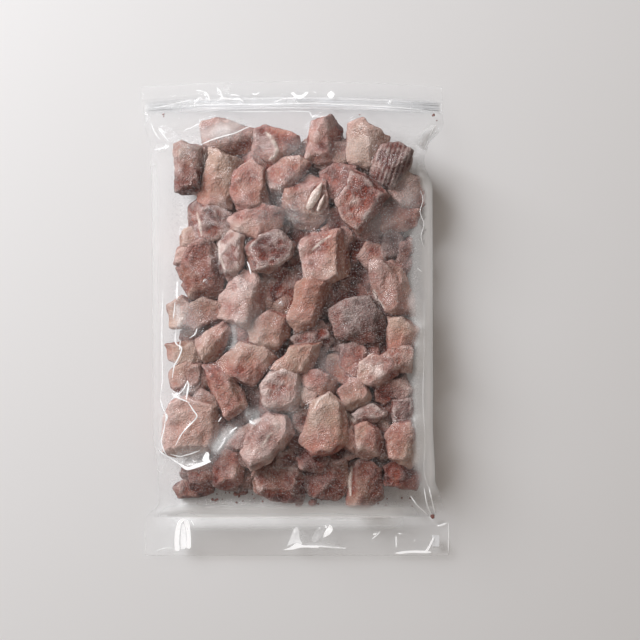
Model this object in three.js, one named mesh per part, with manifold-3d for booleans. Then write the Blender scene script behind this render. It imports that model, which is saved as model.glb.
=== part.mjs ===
// A clear zip bag of frozen diced beef, lying flat with the shown side up, in millimetres.
// X runs across the bag, Y along it towards the zip, Z up. The origin is under its middle, on the table.
// The bag is one closed solid out to its film: a swollen body that the dice press into bumps, a flat header
// with a tunnel for the zip between its two plies, and a flat welded foot. The zip is two interlocking strips.
import * as THREE from "three";
import { mergeVertices } from "three/addons/utils/BufferGeometryUtils.js";
import Module from "manifold-3d";

const headerEdge = 152.4; // the header's edge at its two corners; its middle is bowed further out
const footEdge = 156;
const bow = 3.6; // the header's middle is pushed out along the bag by the filling
const bowStarts = 92;
const bowEnds = 146;

// The outline on each side, from header to foot: distance along the bag, then across from its middle.
// The bag is flat at both ends and narrower where the filling takes up film, most at its gusset corners.
const leftOutline = [
  [156, -101.6], [128, -98.5], [110, -94], [78, -93], [-74, -92.4],
  [-104, -89], [-121, -89.5], [-132, -98.5], [-156, -98.5],
];
const rightOutline = [
  [156, 96.4], [127, 97.5], [112, 87], [103, 84.5], [84, 89.8],
  [-67, 90], [-105, 91.5], [-118, 96], [-132, 100.8], [-156, 101.6],
];

const plateau = 34; // height of the dice that lie level
const bridge = 28; // height of the film where it spans the gaps between dice
const sideSeam = 13; // height of the crease along each side
const flatSeam = 5.2; // height of the flat header and foot where they leave the body
const flatAlong = 131; // how far from the middle they begin
const droop = 2.2; // how far their outer edges come down
const droopAlong = 144; // how far from the middle they start to
const sideRun = 21; // how far in from a side crease the film reaches full height
const baseRun = 17; // how far in from a side crease the underside lies flat
const bodyTop = 134; // the swelling ends here under the zip
const bodyFoot = 129; // and here above the foot
const endRun = 18; // how far in from an end the film reaches full height
const plies = 0.9; // both films together, where nothing lies between them

const zipAlong = 138.2; // middle of the zip
const zipWidth = 8; // across its flanges
const zipInset = 1.6; // from the bag's side edges to the strips' ends
const zipStack = 4.2; // the header's thickness over the zip
const tunnelHeight = 3;
const tunnelMargin = 0.4; // between a flange's edge and the tunnel's wall
const gap = 0.3; // clearance round each strip
const flange = 0.6; // thickness of a zip strip's base
const rib = 0.4; // thickness of a rib and of the ridges beside its groove
const ridgeHeight = 1;
const grooveWidth = 1;
const grooveOffset = 1.6; // each groove's distance from the zip's middle

const overrun = 20; // how far the tunnel's cutting bar sticks out at each side
const acrossSteps = 46; // steps across the bag, on top
const underShares = [0, 0.4, 0.8, 0.85, 0.9, 0.94, 0.975, 1]; // where the underside has points, out from its middle
const bodyStep = 4.2; // step along the body
const flatStep = 8; // step along header and foot
const zipSteps = 16;

// The dice that show from above, from the header down: across, along, width, length, turn in degrees,
// and rise above the level of the others.
const dice = [
  [-73, 99, 20, 29, 0, 0], [-44, 120, 37, 22, 16, -3], [-49, 92, 22, 38, -14, 0], [-12, 116, 29, 21, -10, -2],
  [-30, 87, 24, 32, 0, 2], [21, 118, 21, 30, 5, -1], [47, 115, 28, 29, 0, -1], [63, 101, 25, 30, -10, 1],
  [-5, 97, 30, 20, 15, -1], [5, 76, 30, 33, 0, 1], [28, 91, 24, 20, -5, -2], [44, 76, 26, 29, 42, 3],
  [73, 74, 21, 20, 0, -4], [-28, 64, 33, 18, 12, 1], [-63, 62, 18, 25, 5, 0], [-49, 62, 17, 18, 0, -7],
  [-41, 43, 25, 27, 10, 1], [-18, 45, 33, 25, 20, 4], [22, 42, 35, 30, 9, 4], [28, 61, 20, 13, 0, -6],
  [61, 49, 23, 25, 0, -8], [64, 21, 21, 36, 28, 0], [-62, 32, 27, 33, -12, 0], [-36, 13, 31, 34, -25, 3],
  [-8, 20, 25, 23, 0, -5], [10, 11, 21, 34, -22, 3], [41, 1, 34, 29, -5, 1], [69, -10, 19, 21, 10, -1],
  [-69, 4, 29, 17, 10, -1], [-56, -14, 24, 23, 20, 1], [-18, -9, 24, 25, 25, 1], [11, -13, 28, 14, 0, -2],
  [-1, -26, 27, 18, 15, 1], [35, -27, 30, 29, -10, -3], [60, -34, 32, 31, 20, 1], [-74, -30, 21, 32, 10, -2],
  [-33, -31, 31, 21, -28, 1], [-47, -46, 17, 35, 28, 1], [-9, -47, 29, 27, 0, 2], [17, -42, 24, 15, -25, -1],
  [5, -53, 12, 13, 0, -1], [-69, -70, 31, 36, -12, 0], [-63, -45, 18, 16, 0, -6], [40, -50, 19, 22, -10, 1],
  [49, -62, 17, 12, 8, -3], [68, -56, 18, 26, 5, -2], [20, -70, 30, 37, -5, 4], [47, -79, 19, 25, 20, 0],
  [-20, -80, 26, 36, -20, 3], [-41, -77, 19, 24, -35, -2], [-45, -100, 19, 25, -5, 0], [11, -93, 19, 14, 10, -2],
  [-13, -106, 31, 30, 0, 0], [22, -106, 27, 27, 0, -2], [47, -110, 22, 28, 0, 0], [71, -81, 18, 25, 8, -1],
  [71, -101, 24, 22, -30, -1], [-63, -108, 17, 22, -10, -2], [-73, -113, 15, 12, 0, -5], [-75, 43, 10, 15, 0, -4],
];
const crispness = 4; // exponent of a die's outline: 2 is an ellipse, higher is squarer
const flatShare = 0.74; // the film is level this far out over a die
const slopeShare = 1.22; // and has come down to the bridge here

const smooth = THREE.MathUtils.smoothstep;
const lerp = THREE.MathUtils.lerp;

// Where an outline runs at a distance along the bag.
function edgeAt(outline, along) {
  const next = Math.max(1, outline.findIndex(([far]) => far <= along));
  const [[fromAlong, fromX], [toAlong, toX]] = [outline[next - 1], outline[next]];
  return lerp(fromX, toX, smooth(-along, -fromAlong, -toAlong));
}

// How far the header's bow pushes a point at a share -1 to 1 across out along the bag.
function bowAt(share, along) {
  return bow * (1 - share * share) * smooth(along, bowStarts, bowEnds);
}

// A quarter round from 0 at the edge to 1 at the end of its run.
function quarterRound(distance, run) {
  const left = 1 - THREE.MathUtils.clamp(distance / run, 0, 1);
  return Math.sqrt(1 - left * left);
}

// Height of the crease where the upper and lower film meet.
function seamHeight(along) {
  const far = Math.abs(along);
  const drop = droop * smooth(far, droopAlong, footEdge);
  return lerp(sideSeam, flatSeam, smooth(far, 95, flatAlong)) - drop;
}

// How far the body has swollen, 0 at its rim and 1 inside, for the upper or the lower film.
function swelling(inward, along, run) {
  const fromEnd = along > 0 ? bodyTop - along : bodyFoot + along;
  return quarterRound(inward, run) * quarterRound(fromEnd, endRun);
}

// Height of the film that is draped over the dice.
function filmLevel(x, y) {
  let highest = 0;
  for (const [across, along, width, length, turn, rise] of dice) {
    const a = THREE.MathUtils.degToRad(turn);
    const dx = (x - across) * Math.cos(a) + (y - along) * Math.sin(a);
    const dy = (y - along) * Math.cos(a) - (x - across) * Math.sin(a);
    const out =
      (Math.abs(dx / (width / 2)) ** crispness + Math.abs(dy / (length / 2)) ** crispness) ** (1 / crispness);
    const over = 1 - smooth(out, flatShare, slopeShare);
    highest = Math.max(highest, (plateau + rise - bridge) * over);
  }
  return bridge + highest;
}

// Half the thickness of the flat parts, which swells over the zip.
function halfPlies(along) {
  const fromZip = Math.abs(along - zipAlong) - zipWidth / 2 - tunnelMargin;
  return lerp(zipStack, plies, smooth(fromZip, 0.4, 1.8)) / 2;
}

// A point of the film at a share -1 to 1 across and a distance along, on the upper or lower side.
function filmPoint(share, along, upper) {
  const left = edgeAt(leftOutline, along);
  const right = edgeAt(rightOutline, along);
  const inward = ((1 - Math.abs(share)) * (right - left)) / 2;
  const x = lerp(left, right, (1 + share) / 2);
  const y = along + bowAt(share, along);
  const seam = seamHeight(along);
  const ply = halfPlies(along);
  if (upper) return new THREE.Vector3(x, y, seam + ply + (filmLevel(x, y) - seam) * swelling(inward, along, sideRun));
  return new THREE.Vector3(x, y, Math.max(0, (seam - ply) * (1 - swelling(inward, along, baseRun))));
}

// Stations along the bag: close over the body, exact at the zip's sides, and wide on the flat parts.
function stations() {
  const reach = zipWidth / 2 + tunnelMargin;
  const at = [];
  for (let y = -footEdge; y < -bodyFoot - 1; y += flatStep) at.push(y);
  const steps = Math.round((bodyFoot + bodyTop - 2) / bodyStep);
  for (let i = 0; i <= steps; i++) at.push(lerp(-bodyFoot, bodyTop - 2, i / steps));
  for (const off of [-reach - 0.4, -reach + 0.6, reach - 0.6, reach + 0.4, reach + 1.8]) at.push(zipAlong + off);
  at.push((zipAlong + reach + headerEdge) / 2, headerEdge);
  return at;
}

// The closed skin of the bag: an upper and a lower grid on the same stations, joined round the rim.
function bagGeometry() {
  const rows = stations();
  const topShares = Array.from({ length: acrossSteps + 1 }, (_, c) => (2 * c) / acrossSteps - 1);
  const lowShares = [...underShares.slice(1).map((share) => -share).reverse(), ...underShares];
  const points = [];
  const faces = [];
  const quad = (a, b, c, d) => faces.push(a, b, c, a, c, d);
  const addGrid = (shares, upper) => {
    const first = points.length / 3;
    for (const along of rows) for (const share of shares) points.push(...filmPoint(share, along, upper).toArray());
    return (row, column) => first + row * shares.length + column;
  };
  const top = addGrid(topShares, true);
  const under = addGrid(lowShares, false);
  const last = rows.length - 1;
  const topRight = topShares.length - 1;
  const lowRight = lowShares.length - 1;
  for (let r = 0; r < last; r++) {
    for (let c = 0; c < topRight; c++) quad(top(r, c), top(r, c + 1), top(r + 1, c + 1), top(r + 1, c));
    for (let c = 0; c < lowRight; c++) quad(under(r, c), under(r + 1, c), under(r + 1, c + 1), under(r, c + 1));
    quad(top(r, 0), top(r + 1, 0), under(r + 1, 0), under(r, 0));
    quad(top(r, topRight), under(r, lowRight), under(r + 1, lowRight), top(r + 1, topRight));
  }
  // The two end walls: whichever side's next point comes first is joined on.
  let t = 0;
  let u = 0;
  while (t < topRight || u < lowRight) {
    const above = u === lowRight || (t < topRight && topShares[t + 1] <= lowShares[u + 1]);
    if (above) {
      faces.push(top(0, t), under(0, u), top(0, t + 1), under(last, u), top(last, t), top(last, t + 1));
      t++;
    } else {
      faces.push(top(0, t), under(0, u), under(0, u + 1), under(last, u), top(last, t), under(last, u + 1));
      u++;
    }
  }
  return new THREE.BufferGeometry()
    .setAttribute("position", new THREE.Float32BufferAttribute(points, 3))
    .setIndex(faces);
}

// A bar across the header that follows its bow: an outline of [along, height] points, closed at both ends.
function barAcross(outline, from, to) {
  const left = edgeAt(leftOutline, zipAlong);
  const right = edgeAt(rightOutline, zipAlong);
  const points = [];
  for (let s = 0; s <= zipSteps; s++) {
    const x = lerp(from, to, s / zipSteps);
    const share = (2 * (x - left)) / (right - left) - 1;
    for (const [along, height] of outline) points.push(x, zipAlong + along + bowAt(share, zipAlong), height);
  }
  const n = outline.length;
  const faces = [];
  for (let s = 0; s < zipSteps; s++)
    for (let i = 0; i < n; i++) {
      const a = s * n + i;
      const b = s * n + ((i + 1) % n);
      faces.push(a, b, b + n, a, b + n, a + n);
    }
  const flat = outline.map(([along, height]) => new THREE.Vector2(along, height));
  for (const [a, b, c] of THREE.ShapeUtils.triangulateShape(flat, [])) {
    const end = zipSteps * n;
    faces.push(a, c, b, end + a, end + b, end + c);
  }
  return new THREE.BufferGeometry()
    .setAttribute("position", new THREE.Float32BufferAttribute(points, 3))
    .setIndex(faces);
}

const zipLeft = edgeAt(leftOutline, zipAlong) + zipInset;
const zipRight = edgeAt(rightOutline, zipAlong) - zipInset;
const zipMiddle = seamHeight(zipAlong);
const tunnelFloor = zipMiddle - tunnelHeight / 2;
const tunnelRoof = zipMiddle + tunnelHeight / 2;

function tunnelOutline() {
  const reach = zipWidth / 2 + tunnelMargin;
  return [[-reach, tunnelFloor], [reach, tunnelFloor], [reach, tunnelRoof], [-reach, tunnelRoof]];
}

// The lower strip: a flange with a pair of ridges beside each of its two grooves.
function grooveStripOutline() {
  const base = tunnelFloor + gap;
  const top = base + flange;
  const outline = [[-zipWidth / 2, base], [zipWidth / 2, base], [zipWidth / 2, top]];
  for (const groove of [grooveOffset, -grooveOffset])
    for (const side of [1, -1]) {
      const inner = groove + (side * grooveWidth) / 2;
      const outer = inner + side * rib;
      const [first, second] = side > 0 ? [outer, inner] : [inner, outer];
      outline.push([first, top], [first, top + ridgeHeight], [second, top + ridgeHeight], [second, top]);
    }
  outline.push([-zipWidth / 2, top]);
  return outline;
}

// The upper strip: a flange with two ribs that hang into the grooves.
function ribStripOutline() {
  const top = tunnelRoof - gap;
  const base = top - flange + 0.1;
  const tip = tunnelFloor + gap + flange + gap;
  const outline = [[zipWidth / 2, top], [-zipWidth / 2, top], [-zipWidth / 2, base]];
  for (const groove of [-grooveOffset, grooveOffset])
    outline.push(
      [groove - rib / 2, base], [groove - rib / 2, tip], [groove + rib / 2, tip], [groove + rib / 2, base],
    );
  outline.push([zipWidth / 2, base]);
  return outline;
}

const wasm = await Module();
wasm.setup();

function solidOf(geometry) {
  const merged = mergeVertices(geometry, 1e-4);
  const mesh = new wasm.Mesh({
    numProp: 3,
    vertProperties: merged.attributes.position.array,
    triVerts: new Uint32Array(merged.index.array),
  });
  return new wasm.Manifold(mesh);
}

function geometryOf(solid) {
  const mesh = solid.getMesh();
  return new THREE.BufferGeometry()
    .setAttribute("position", new THREE.Float32BufferAttribute(Array.from(mesh.vertProperties), 3))
    .setIndex(Array.from(mesh.triVerts));
}

function part(name, geometry, colour, roughness) {
  geometry.computeVertexNormals();
  const mesh = new THREE.Mesh(geometry, new THREE.MeshStandardMaterial({ color: colour, roughness, metalness: 0 }));
  mesh.name = name;
  return mesh;
}

const tunnel = solidOf(barAcross(tunnelOutline(), zipLeft - overrun, zipRight + overrun));
const bag = solidOf(bagGeometry()).subtract(tunnel);

const model = new THREE.Group();
model.add(
  part("bag_of_diced_beef", geometryOf(bag), 0xa8877d, 0.35),
  part("zip_groove_strip", barAcross(grooveStripOutline(), zipLeft, zipRight), 0xe6e9ea, 0.3),
  part("zip_rib_strip", barAcross(ribStripOutline(), zipLeft, zipRight), 0xe6e9ea, 0.3),
);

export default model;
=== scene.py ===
import math
import random

import bpy
import numpy as np
from mathutils import Euler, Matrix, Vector


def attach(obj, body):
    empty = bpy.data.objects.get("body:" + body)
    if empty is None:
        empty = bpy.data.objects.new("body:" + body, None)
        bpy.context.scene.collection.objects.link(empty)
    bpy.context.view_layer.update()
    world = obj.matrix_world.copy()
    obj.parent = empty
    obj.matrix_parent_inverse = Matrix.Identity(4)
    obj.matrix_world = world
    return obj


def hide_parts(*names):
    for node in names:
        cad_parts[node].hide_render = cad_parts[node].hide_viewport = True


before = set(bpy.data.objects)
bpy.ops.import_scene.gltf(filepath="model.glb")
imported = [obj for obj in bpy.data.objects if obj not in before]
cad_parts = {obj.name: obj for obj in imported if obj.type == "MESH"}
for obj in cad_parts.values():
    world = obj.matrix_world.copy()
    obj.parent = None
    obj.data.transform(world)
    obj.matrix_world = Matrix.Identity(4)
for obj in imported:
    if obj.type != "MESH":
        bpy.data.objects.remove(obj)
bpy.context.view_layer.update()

mm = 0.001
bagNode = "bag_of_diced_beef"
rng = random.Random(11)
scatter = np.random.default_rng(11)

# how a place in the photo's frame becomes a place on the floor, in mm
photo = {"mmPerPixel": 0.66, "middleX": 295.0, "middleY": 318.5, "axis": 320.0, "distance": 1000.0}


def smooth(t, low=0.0, high=1.0):
    t = np.clip((np.asarray(t, float) - low) / (high - low), 0, 1)
    return t * t * (3 - 2 * t)


def lerp(a, b, t):
    return a + (b - a) * t


def onBag(across, down, height=34.0):
    # a pixel of the frame as mm on the bag, for a point that lies height mm above the floor
    near = 1 - height / photo["distance"]
    x = (across - photo["axis"]) * near + photo["axis"] - photo["middleX"]
    y = photo["middleY"] - ((down - photo["axis"]) * near + photo["axis"])
    return x * photo["mmPerPixel"], y * photo["mmPerPixel"]


def deselect():
    bpy.ops.object.select_all(action="DESELECT")


def activate(piece):
    deselect()
    piece.select_set(True)
    bpy.context.view_layer.objects.active = piece


def named(name):
    # what an operator has just added or joined
    piece = bpy.context.active_object
    piece.name = name
    piece.data.name = name
    return piece


def finishWith(piece, kind, **values):
    # adds one modifier, sets it and applies it
    modifier = piece.modifiers.new(kind.lower(), kind)
    for key, value in values.items():
        setattr(modifier, key, value)
    bpy.ops.object.modifier_apply(modifier=modifier.name)


def places(piece):
    at = np.empty(len(piece.data.vertices) * 3, np.float32)
    piece.data.vertices.foreach_get("co", at)
    return at.reshape(-1, 3).astype(float)


def setPlaces(piece, at):
    piece.data.vertices.foreach_set("co", np.asarray(at, np.float32).ravel())
    piece.data.update()


def paint(piece, name, values):
    # a value or a vector for each point, which the piece's material reads
    values = np.asarray(values, np.float32)
    kind, key = ("FLOAT", "value") if values.ndim == 1 else ("FLOAT_VECTOR", "vector")
    attribute = piece.data.attributes.get(name) or piece.data.attributes.new(name, kind, "POINT")
    attribute.data.foreach_set(key, values.ravel())


def joined(parts, name):
    deselect()
    for part in parts:
        part.select_set(True)
    bpy.context.view_layer.objects.active = parts[0]
    bpy.ops.object.join()
    return named(name)


def dress(piece, material):
    piece.data.materials.clear()
    piece.data.materials.append(material)
    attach(piece, "root")


def besideLine(x, y, line):
    # each point's distance from a line through several points, and its share of the line's length
    best = np.full(len(x), 1e9)
    share = np.zeros(len(x))
    steps = [math.dist(a, b) for a, b in zip(line, line[1:])]
    gone = 0.0
    for a, b, step in zip(line, line[1:], steps):
        t = np.clip(((x - a[0]) * (b[0] - a[0]) + (y - a[1]) * (b[1] - a[1])) / (step * step + 1e-9), 0, 1)
        away = np.hypot(x - a[0] - t * (b[0] - a[0]), y - a[1] - t * (b[1] - a[1]))
        closer = away < best
        best = np.where(closer, away, best)
        share = np.where(closer, (gone + t * step) / sum(steps), share)
        gone += step
    return best, share


# Node helpers
def newMaterial(name):
    material = bpy.data.materials.new(name)
    material.use_nodes = True
    material.node_tree.nodes.clear()
    return material, material.node_tree


def node(tree, kind, inputs=None, **settings):
    # adds a node, sets its properties, and gives its sockets a value or a link
    made = tree.nodes.new(kind)
    for key, value in settings.items():
        setattr(made, key, value)
    for key, value in (inputs or {}).items():
        if isinstance(value, bpy.types.NodeSocket):
            tree.links.new(value, made.inputs[key])
        else:
            made.inputs[key].default_value = value
    return made


def sums(tree, operation, a, b=0.0, clamp=False):
    return node(tree, "ShaderNodeMath", {0: a, 1: b}, operation=operation, use_clamp=clamp).outputs[0]


def stepped(tree, value, low, high, to=1.0, start=0.0):
    # a soft step from start to the value to
    made = node(tree, "ShaderNodeMapRange", {"Value": value, "From Min": low, "From Max": high,
                                             "To Min": start, "To Max": to},
                interpolation_type="SMOOTHSTEP")
    return made.outputs["Result"]


def mixed(tree, factor, a, b, blend="MIX"):
    made = node(tree, "ShaderNodeMix", {0: factor, 6: a, 7: b}, data_type="RGBA", blend_type=blend)
    return made.outputs[2]


def colour(r, g, b):
    return (r, g, b, 1.0)


def fromAttribute(tree, name):
    return node(tree, "ShaderNodeAttribute", attribute_name=name)


def newGroup(name, takes, gives):
    # an effect with named sockets that several materials use
    group = bpy.data.node_groups.new(name, "ShaderNodeTree")
    for socket, kind, value in takes:
        made = group.interface.new_socket(socket, in_out="INPUT", socket_type=kind)
        if value is not None:
            made.default_value = value
    for socket, kind in gives:
        group.interface.new_socket(socket, in_out="OUTPUT", socket_type=kind)
    start = group.nodes.new("NodeGroupInput")
    end = group.nodes.new("NodeGroupOutput")
    return group, start.outputs, end.inputs


def placed(tree, group, **values):
    made = tree.nodes.new("ShaderNodeGroup")
    made.node_tree = group
    for key, value in values.items():
        if isinstance(value, bpy.types.NodeSocket):
            tree.links.new(value, made.inputs[key])
        else:
            made.inputs[key].default_value = value
    return made.outputs


# Effects that the materials share
def makeMuscleGrain():
    # fibres along the cut, broad blotches of redder lean, and small dark flecks between the fibres
    group, takes, gives = newGroup(
        "muscleGrain",
        [("Vector", "NodeSocketVector", None), ("Fibre Width", "NodeSocketFloat", 0.9),
         ("Blotch Size", "NodeSocketFloat", 4.0)],
        [("Fibre", "NodeSocketFloat"), ("Blotch", "NodeSocketFloat"), ("Fleck", "NodeSocketFloat")])
    perMm = node(group, "ShaderNodeVectorMath", {0: takes["Vector"], "Scale": 1000.0}, operation="SCALE")
    long = node(group, "ShaderNodeMapping", {"Vector": perMm.outputs[0], "Scale": (1, 1, 0.2)})
    fineness = sums(group, "DIVIDE", 1.0, takes["Fibre Width"])
    fibre = node(group, "ShaderNodeTexNoise", {"Vector": long.outputs[0], "Scale": fineness,
                                               "Detail": 2.0, "Roughness": 0.6, "Distortion": 0.8})
    spread = sums(group, "DIVIDE", 1.0, takes["Blotch Size"])
    broad = node(group, "ShaderNodeTexNoise", {"Vector": perMm.outputs[0], "Scale": spread,
                                               "Detail": 2.0, "Roughness": 0.5, "Distortion": 0.5})
    middle = node(group, "ShaderNodeTexNoise",
                  {"Vector": perMm.outputs[0], "Scale": sums(group, "MULTIPLY", spread, 3.2),
                   "Detail": 2.0, "Roughness": 0.6, "Distortion": 0.3})
    fleck = node(group, "ShaderNodeTexNoise",
                 {"Vector": long.outputs[0], "Scale": sums(group, "MULTIPLY", fineness, 1.5),
                  "Detail": 1.0, "Roughness": 0.5})
    large = sums(group, "MULTIPLY", stepped(group, broad.outputs["Fac"], 0.34, 0.66), 0.78)
    small = sums(group, "MULTIPLY", stepped(group, middle.outputs["Fac"], 0.34, 0.66), 0.22)
    both = sums(group, "ADD", large, small)
    where = stepped(group, both, 0.35, 0.75)
    group.links.new(stepped(group, fibre.outputs["Fac"], 0.32, 0.68), gives["Fibre"])
    group.links.new(both, gives["Blotch"])
    group.links.new(sums(group, "MULTIPLY", stepped(group, fleck.outputs["Fac"], 0.5, 0.66), where),
                    gives["Fleck"])
    return group


def makeFrostBloom():
    # rime that gathers in soft patches, with grains of ice in it
    group, takes, gives = newGroup(
        "frostBloom",
        [("Vector", "NodeSocketVector", None), ("Amount", "NodeSocketFloat", 0.4),
         ("Unevenness", "NodeSocketFloat", 0.6), ("Patch Size", "NodeSocketFloat", 9.0),
         ("Grain Size", "NodeSocketFloat", 1.2)],
        [("Bloom", "NodeSocketFloat"), ("Grain", "NodeSocketFloat"), ("Sparkle", "NodeSocketFloat")])
    perMm = node(group, "ShaderNodeVectorMath", {0: takes["Vector"], "Scale": 1000.0}, operation="SCALE")
    patches = node(group, "ShaderNodeTexNoise",
                   {"Vector": perMm.outputs[0], "Scale": sums(group, "DIVIDE", 1.0, takes["Patch Size"]),
                    "Detail": 3.0, "Roughness": 0.55})
    grains = node(group, "ShaderNodeTexNoise",
                  {"Vector": perMm.outputs[0], "Scale": sums(group, "DIVIDE", 1.0, takes["Grain Size"]),
                   "Detail": 1.5, "Roughness": 0.6})
    points = node(group, "ShaderNodeTexVoronoi",
                  {"Vector": perMm.outputs[0], "Scale": 1.1, "Randomness": 1.0}, feature="F1")
    pick = node(group, "ShaderNodeTexWhiteNoise", {"Vector": points.outputs["Position"]})
    wide = stepped(group, patches.outputs["Fac"], 0.3, 0.7, to=0.9, start=-0.9)
    fine = stepped(group, grains.outputs["Fac"], 0.34, 0.68)
    uneven = sums(group, "ADD", 1.0, sums(group, "MULTIPLY", wide, takes["Unevenness"]))
    spread = sums(group, "MULTIPLY", uneven, takes["Amount"])
    swing = stepped(group, fine, 0, 1, to=0.4, start=-0.32)
    grainy = sums(group, "MULTIPLY", sums(group, "MINIMUM", spread, 0.26), swing)
    bloom = sums(group, "ADD", spread, grainy, clamp=True)
    near = stepped(group, points.outputs["Distance"], 0.27, 0.17)
    rare = sums(group, "GREATER_THAN", pick.outputs["Value"], 0.7)
    group.links.new(bloom, gives["Bloom"])
    group.links.new(fine, gives["Grain"])
    group.links.new(sums(group, "MULTIPLY", near, rare), gives["Sparkle"])
    return group


muscleGrain = makeMuscleGrain()
frostBloom = makeFrostBloom()

lean = {
    "tan": colour(0.480, 0.280, 0.196),
    "pink": colour(0.432, 0.159, 0.106),
    "red": colour(0.345, 0.079, 0.050),
    "maroon": colour(0.176, 0.035, 0.024),
    "fat": colour(0.80, 0.66, 0.575),
    "frost": colour(0.90, 0.735, 0.67),
    "ice": colour(0.93, 0.88, 0.86),
}


def beefMaterial(name, values):
    # frozen beef: lean by its redness, its cut edges and patches under rime
    material, tree = newMaterial(name)
    vector = fromAttribute(tree, "grain").outputs["Vector"]
    tone = node(tree, "ShaderNodeSeparateXYZ", {0: fromAttribute(tree, "tone").outputs["Vector"]}).outputs
    edge = fromAttribute(tree, "edge").outputs["Fac"]
    fat = fromAttribute(tree, "fat").outputs["Fac"]
    mottle = fromAttribute(tree, "mottle").outputs["Fac"]
    grain = placed(tree, muscleGrain, **{"Vector": vector, "Fibre Width": values["fibreWidth"],
                                         "Blotch Size": values["blotchSize"]})
    frost = placed(tree, frostBloom, **{"Vector": vector, "Amount": tone["Z"],
                                        "Unevenness": sums(tree, "MULTIPLY", mottle, values["uneven"]),
                                        "Patch Size": values["patchSize"],
                                        "Grain Size": values["grainSize"]})
    swing = sums(tree, "MULTIPLY", sums(tree, "SUBTRACT", grain["Blotch"], 0.5), values["blotch"])
    swing = sums(tree, "MULTIPLY", swing, mottle)
    streak = sums(tree, "MULTIPLY", sums(tree, "SUBTRACT", grain["Fibre"], 0.5), values["streak"])
    redness = sums(tree, "ADD", sums(tree, "ADD", tone["X"], swing), streak, clamp=True)
    ramp = node(tree, "ShaderNodeValToRGB", {"Fac": redness})
    ramp.color_ramp.elements[0].color = lean["tan"]
    ramp.color_ramp.elements[1].color = lean["maroon"]
    for place, key in ((0.38, "pink"), (0.7, "red")):
        ramp.color_ramp.elements.new(place).color = lean[key]
    shade = sums(tree, "ADD", sums(tree, "MULTIPLY", tone["Y"], 0.62),
                 sums(tree, "MULTIPLY", sums(tree, "MULTIPLY", grain["Fleck"], mottle), values["fleck"]),
                 clamp=True)
    dim = sums(tree, "SUBTRACT", 1.0, shade)
    deep = mixed(tree, 1.0, ramp.outputs["Color"], dim, "MULTIPLY")
    strand = sums(tree, "MULTIPLY", fat, stepped(tree, grain["Fibre"], 0.0, 0.5, to=1.0, start=0.55))
    marbled = mixed(tree, strand, deep, lean["fat"])
    # rime grows on edges and is taken away in hollows, a painted shade there
    rim = sums(tree, "MULTIPLY", edge, values["rim"])
    rime = sums(tree, "ADD", frost["Bloom"], rim, clamp=True)
    frosted = mixed(tree, sums(tree, "MULTIPLY", rime, 0.85), marbled, lean["frost"])
    iced = mixed(tree, sums(tree, "MULTIPLY", frost["Sparkle"], 0.6), frosted, lean["ice"])
    rough = stepped(tree, rime, 0.0, 1.0, to=0.8, start=values["roughness"])
    relief = sums(tree, "ADD", sums(tree, "MULTIPLY", grain["Fibre"], 0.6),
                  sums(tree, "MULTIPLY", frost["Grain"], 1.1))
    bump = node(tree, "ShaderNodeBump", {"Height": relief, "Distance": 0.0006,
                                         "Strength": values["relief"]})
    body = node(tree, "ShaderNodeBsdfPrincipled", {"Base Color": iced, "Roughness": rough,
                                                   "Specular IOR Level": 0.22, "Normal": bump.outputs[0]})
    node(tree, "ShaderNodeOutputMaterial", {"Surface": body.outputs[0]})
    return material


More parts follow.
